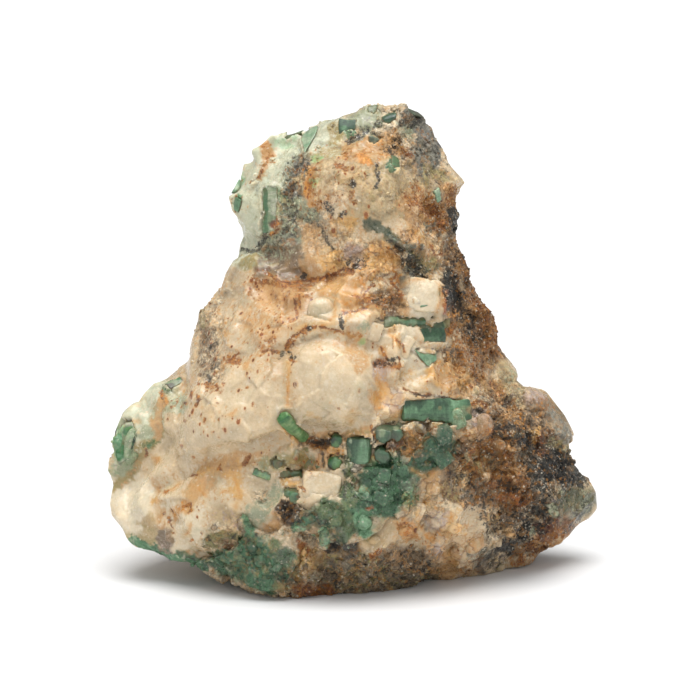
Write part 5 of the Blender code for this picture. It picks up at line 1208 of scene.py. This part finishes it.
emeraldLumps = [
    ("bead", 310, 518, 16, 14, 12, 0, "deep", "sea", 0.5), ("bead", 363, 521, 18, 18, 12, 0, "mint", "mid", 0.4),
    ("bead", 325, 537, 13, 22, 10, 12, "mint", "greyGreen", 0.5), ("bead", 301, 527, 14, 9, 8, 0, "mint", "greyGreen", 0.4),
    ("bead", 252, 547, 13, 13, 10, 0, "deep", "sea", 0.4), ("bead", 397, 453, 9, 10, 9, 0, "darkGreen", "deep", 0.5),
    ("bead", 404, 448, 7, 7, 8, 0, "darkGreen", "deep", 0.5), ("block", 457, 419, 17, 24, 12, -24, "mint", "mid", 0.45), ("hex", 444, 434, 19, 22, 14, 15, "deep", "greenGrey", 0.5),
    ("block", 353, 450, 14, 21, 12, -6, "deep", "sea", 0.5), ("hex", 398, 429, 15, 17, 9, 12, "greenGrey", "glass", 0.5), ("hex", 406, 435, 9, 10, 8, 20, "oliveTan", "brown", 0.5), ("hex", 339, 456, 10, 9, 8, 5, "deep", "moss", 0.5),
    ("block", 384, 476, 16, 18, 12, 12, "sea", "deep", 0.5), ("block", 366, 482, 14, 16, 12, -18, "deep", "sea", 0.5), ("hex", 402, 470, 17, 15, 12, 8, "sea", "deep", 0.5),
    ("block", 380, 498, 18, 15, 12, 24, "sea", "deep", 0.5), ("hex", 420, 455, 18, 16, 12, -12, "deep", "greenGrey", 0.5), ("block", 336, 520, 16, 15, 10, 10, "moss", "deep", 0.5),
    ("block", 262, 560, 18, 16, 12, -14, "sea", "deep", 0.5), ("hex", 240, 556, 15, 14, 10, 12, "moss", "deep", 0.5), ("bead", 132, 446, 17, 38, 8, 6, "glass", "greyGreen", 0.5), ("block", 276, 566, 14, 13, 10, 26, "greenGrey", "sea", 0.5),
    ("bead", 363, 491, 11, 12, 8, 0, "mint", "oliveTan", 0.4), ("prism", 296, 455, 7, 11, 6, 10, "greyGreen", "ivory", 0.4),
    ("bead", 391, 169, 7, 9, 6, 0, "mid", "sea", 0.4), ("prism", 391, 238, 8, 44, 7, -58, "greenSchist", "darkGreen", 0.5),
    ("prism", 424, 306, 4, 9, 4, 80, "mid", "sea", 0.4), ("block", 423, 334, 18, 20, 8, 8, "deep", "moss", 0.5), ("block", 445, 323, 11, 12, 8, 0, "olive", "moss", 0.5), ("prism", 439, 292, 5, 10, 5, 10, "sea", "deep", 0.4),
    # the milk mixed into the grey schist block at (357, 468) stands in for small white glints, a painted highlight
    ("prism", 438, 452, 20, 34, 12, -38, "deep", "sea", 0.4), ("block", 357, 468, 14, 13, 8, 20, "greySchist", "milk", 0.4),
]


def lumpInto(shape, lump, ground):  # adds one lump to the shape and gives back where it stands
    kind, x, y, wide, high, deep, turn = lump[:7]
    eye, way = sightLine(x, y)
    spot, normal, face, far = ground.ray_cast(eye, way)
    scale = far * 36 / photoView["lens"] / photoView["picture"]
    ahead, up, place = viewAxes()
    basis = Matrix(((1, 0, 0), -Vector(ahead), up)).transposed().to_4x4()
    basis = basis @ Matrix.Rotation(math.radians(turn), 4, "Y") @ Matrix.Rotation(math.radians(9 * math.sin(x)), 4, "X")
    basis = Matrix.Translation(spot + way * deep * scale * (0.15 if kind == "bead" else 0.25)) @ basis
    basis = basis @ Matrix.Diagonal((wide * scale, deep * scale, high * scale, 1))
    if kind in ("bead", "block"):
        made = bmesh.ops.create_icosphere(shape, subdivisions=3, radius=0.5)["verts"]
        for vert in made:
            square = 0.45 / max(abs(value) for value in vert.co)
            vert.co = basis @ (vert.co * (mix(1, square, 0.7) if kind == "block" else 1))
    else:
        basis = basis @ Matrix.Rotation(math.radians(90), 4, "X") if kind == "hex" else basis
        made = bmesh.ops.create_cone(shape, cap_ends=True, segments=6, radius1=0.5, radius2=0.5, depth=1, matrix=basis)["verts"]
    for vert in made:
        vert.co += noise.noise_vector(vert.co / mm * 0.6) * 0.07 * min(wide, high) * scale
    return np.array(spot) / mm


lumpSizes = {"voxel": 0.13, "soften": 4, "chip": (1.6, 0.03), "wave": (1.2, 0.03)}


def makeLumps(name, lumps, ground):
    shape = bmesh.new()
    spots = np.array([lumpInto(shape, lump, ground) for lump in lumps])
    piece = newPiece(name, shape)
    even = piece.modifiers.new("even", "REMESH")
    even.mode, even.voxel_size = "VOXEL", lumpSizes["voxel"] * mm
    soft = piece.modifiers.new("soft", "SMOOTH")
    soft.factor, soft.iterations = 0.5, lumpSizes["soften"]
    settle(piece)
    places, facing = readMesh(piece.data)
    tone, fields, front = lookOf(places, facing)
    nearest = np.argmin(np.linalg.norm(places[:, None] - spots[None], axis=2), axis=1)
    own = np.array([[*light(lump[7]), *light(lump[8]), lump[9]] for lump in lumps])
    tone = mix(tone, own[nearest], 0.85)
    for key in ("schist", "green", "dark"):
        fields[key] = fields[key] * 0.35
    rise = lumpSizes["chip"][1] * chipField(places, lumpSizes["chip"][0], 5.5)
    rise += lumpSizes["wave"][1] * roughField(places, lumpSizes["wave"][0], 3, 7.7)
    writePoints(piece.data, places + facing * rise[:, None])
    paintPiece(piece, tone, fields)
    shaded(piece)
    return piece


def fieldOf(piece, name, channel):
    values = np.empty(len(piece.data.vertices) * 4, np.float32)
    piece.data.attributes[name].data.foreach_get("color", values)
    return values.reshape(-1, 4)[:, channel].astype(float)


# ---- put together

def dressed(piece, slot, material, *nodes):
    piece.data.materials.append(material)
    if nodes:
        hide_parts(*nodes)
    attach(piece, "root")
    print(piece.name, "done")


stone = makeStone()
quartzLook, bandLook = mineralMaterial("quartzAndSchist"), mineralMaterial("emeraldBand")
dressed(stone, "matrix", quartzLook, "matrix_rock")
band = makeBand()
dressed(band, "emerald_deep", bandLook, "emerald_mass")

crystalLook = emeraldMaterial("emeraldCrystal")
stoneTree = treeOf(stone)
crystals = {name: makeCrystal(name, stoneTree) for name in smallCrystals}
for name, crystal in crystals.items():
    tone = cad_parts[name].material_slots[0].material.name.split("_")[1].split(".")[0]
    dressed(crystal, "emerald_" + tone, crystalLook, name)

quartzPieces = makeLumps("quartz_lumps", quartzLumps, treeOf(stone, band))
dressed(quartzPieces, "matrix", quartzLook)
under = treeOf(stone, band, quartzPieces, crystals["emerald_long_prism"])
dressed(makeLumps("emerald_lumps", emeraldLumps, under), "emerald_deep", bandLook)

schistShare = fieldOf(stone, "kind", 0)
nearFront = 0.35 + 0.65 * ease((0.5 - readMesh(stone.data)[1][:, 1]) / 0.5)
dressed(makeGrains("schist_grains", stone, nearFront * schistShare ** 2), "matrix", quartzLook)
dressed(makeGrains("mica_flakes", stone, nearFront * schistShare ** 3), "matrix", quartzLook)
dressed(makeGrains("quartz_grains", stone, nearFront * schistShare * (1 - schistShare)), "matrix", quartzLook)
dressed(makeGrains("emerald_grains", band, np.ones(len(band.data.vertices))), "emerald_deep", bandLook)
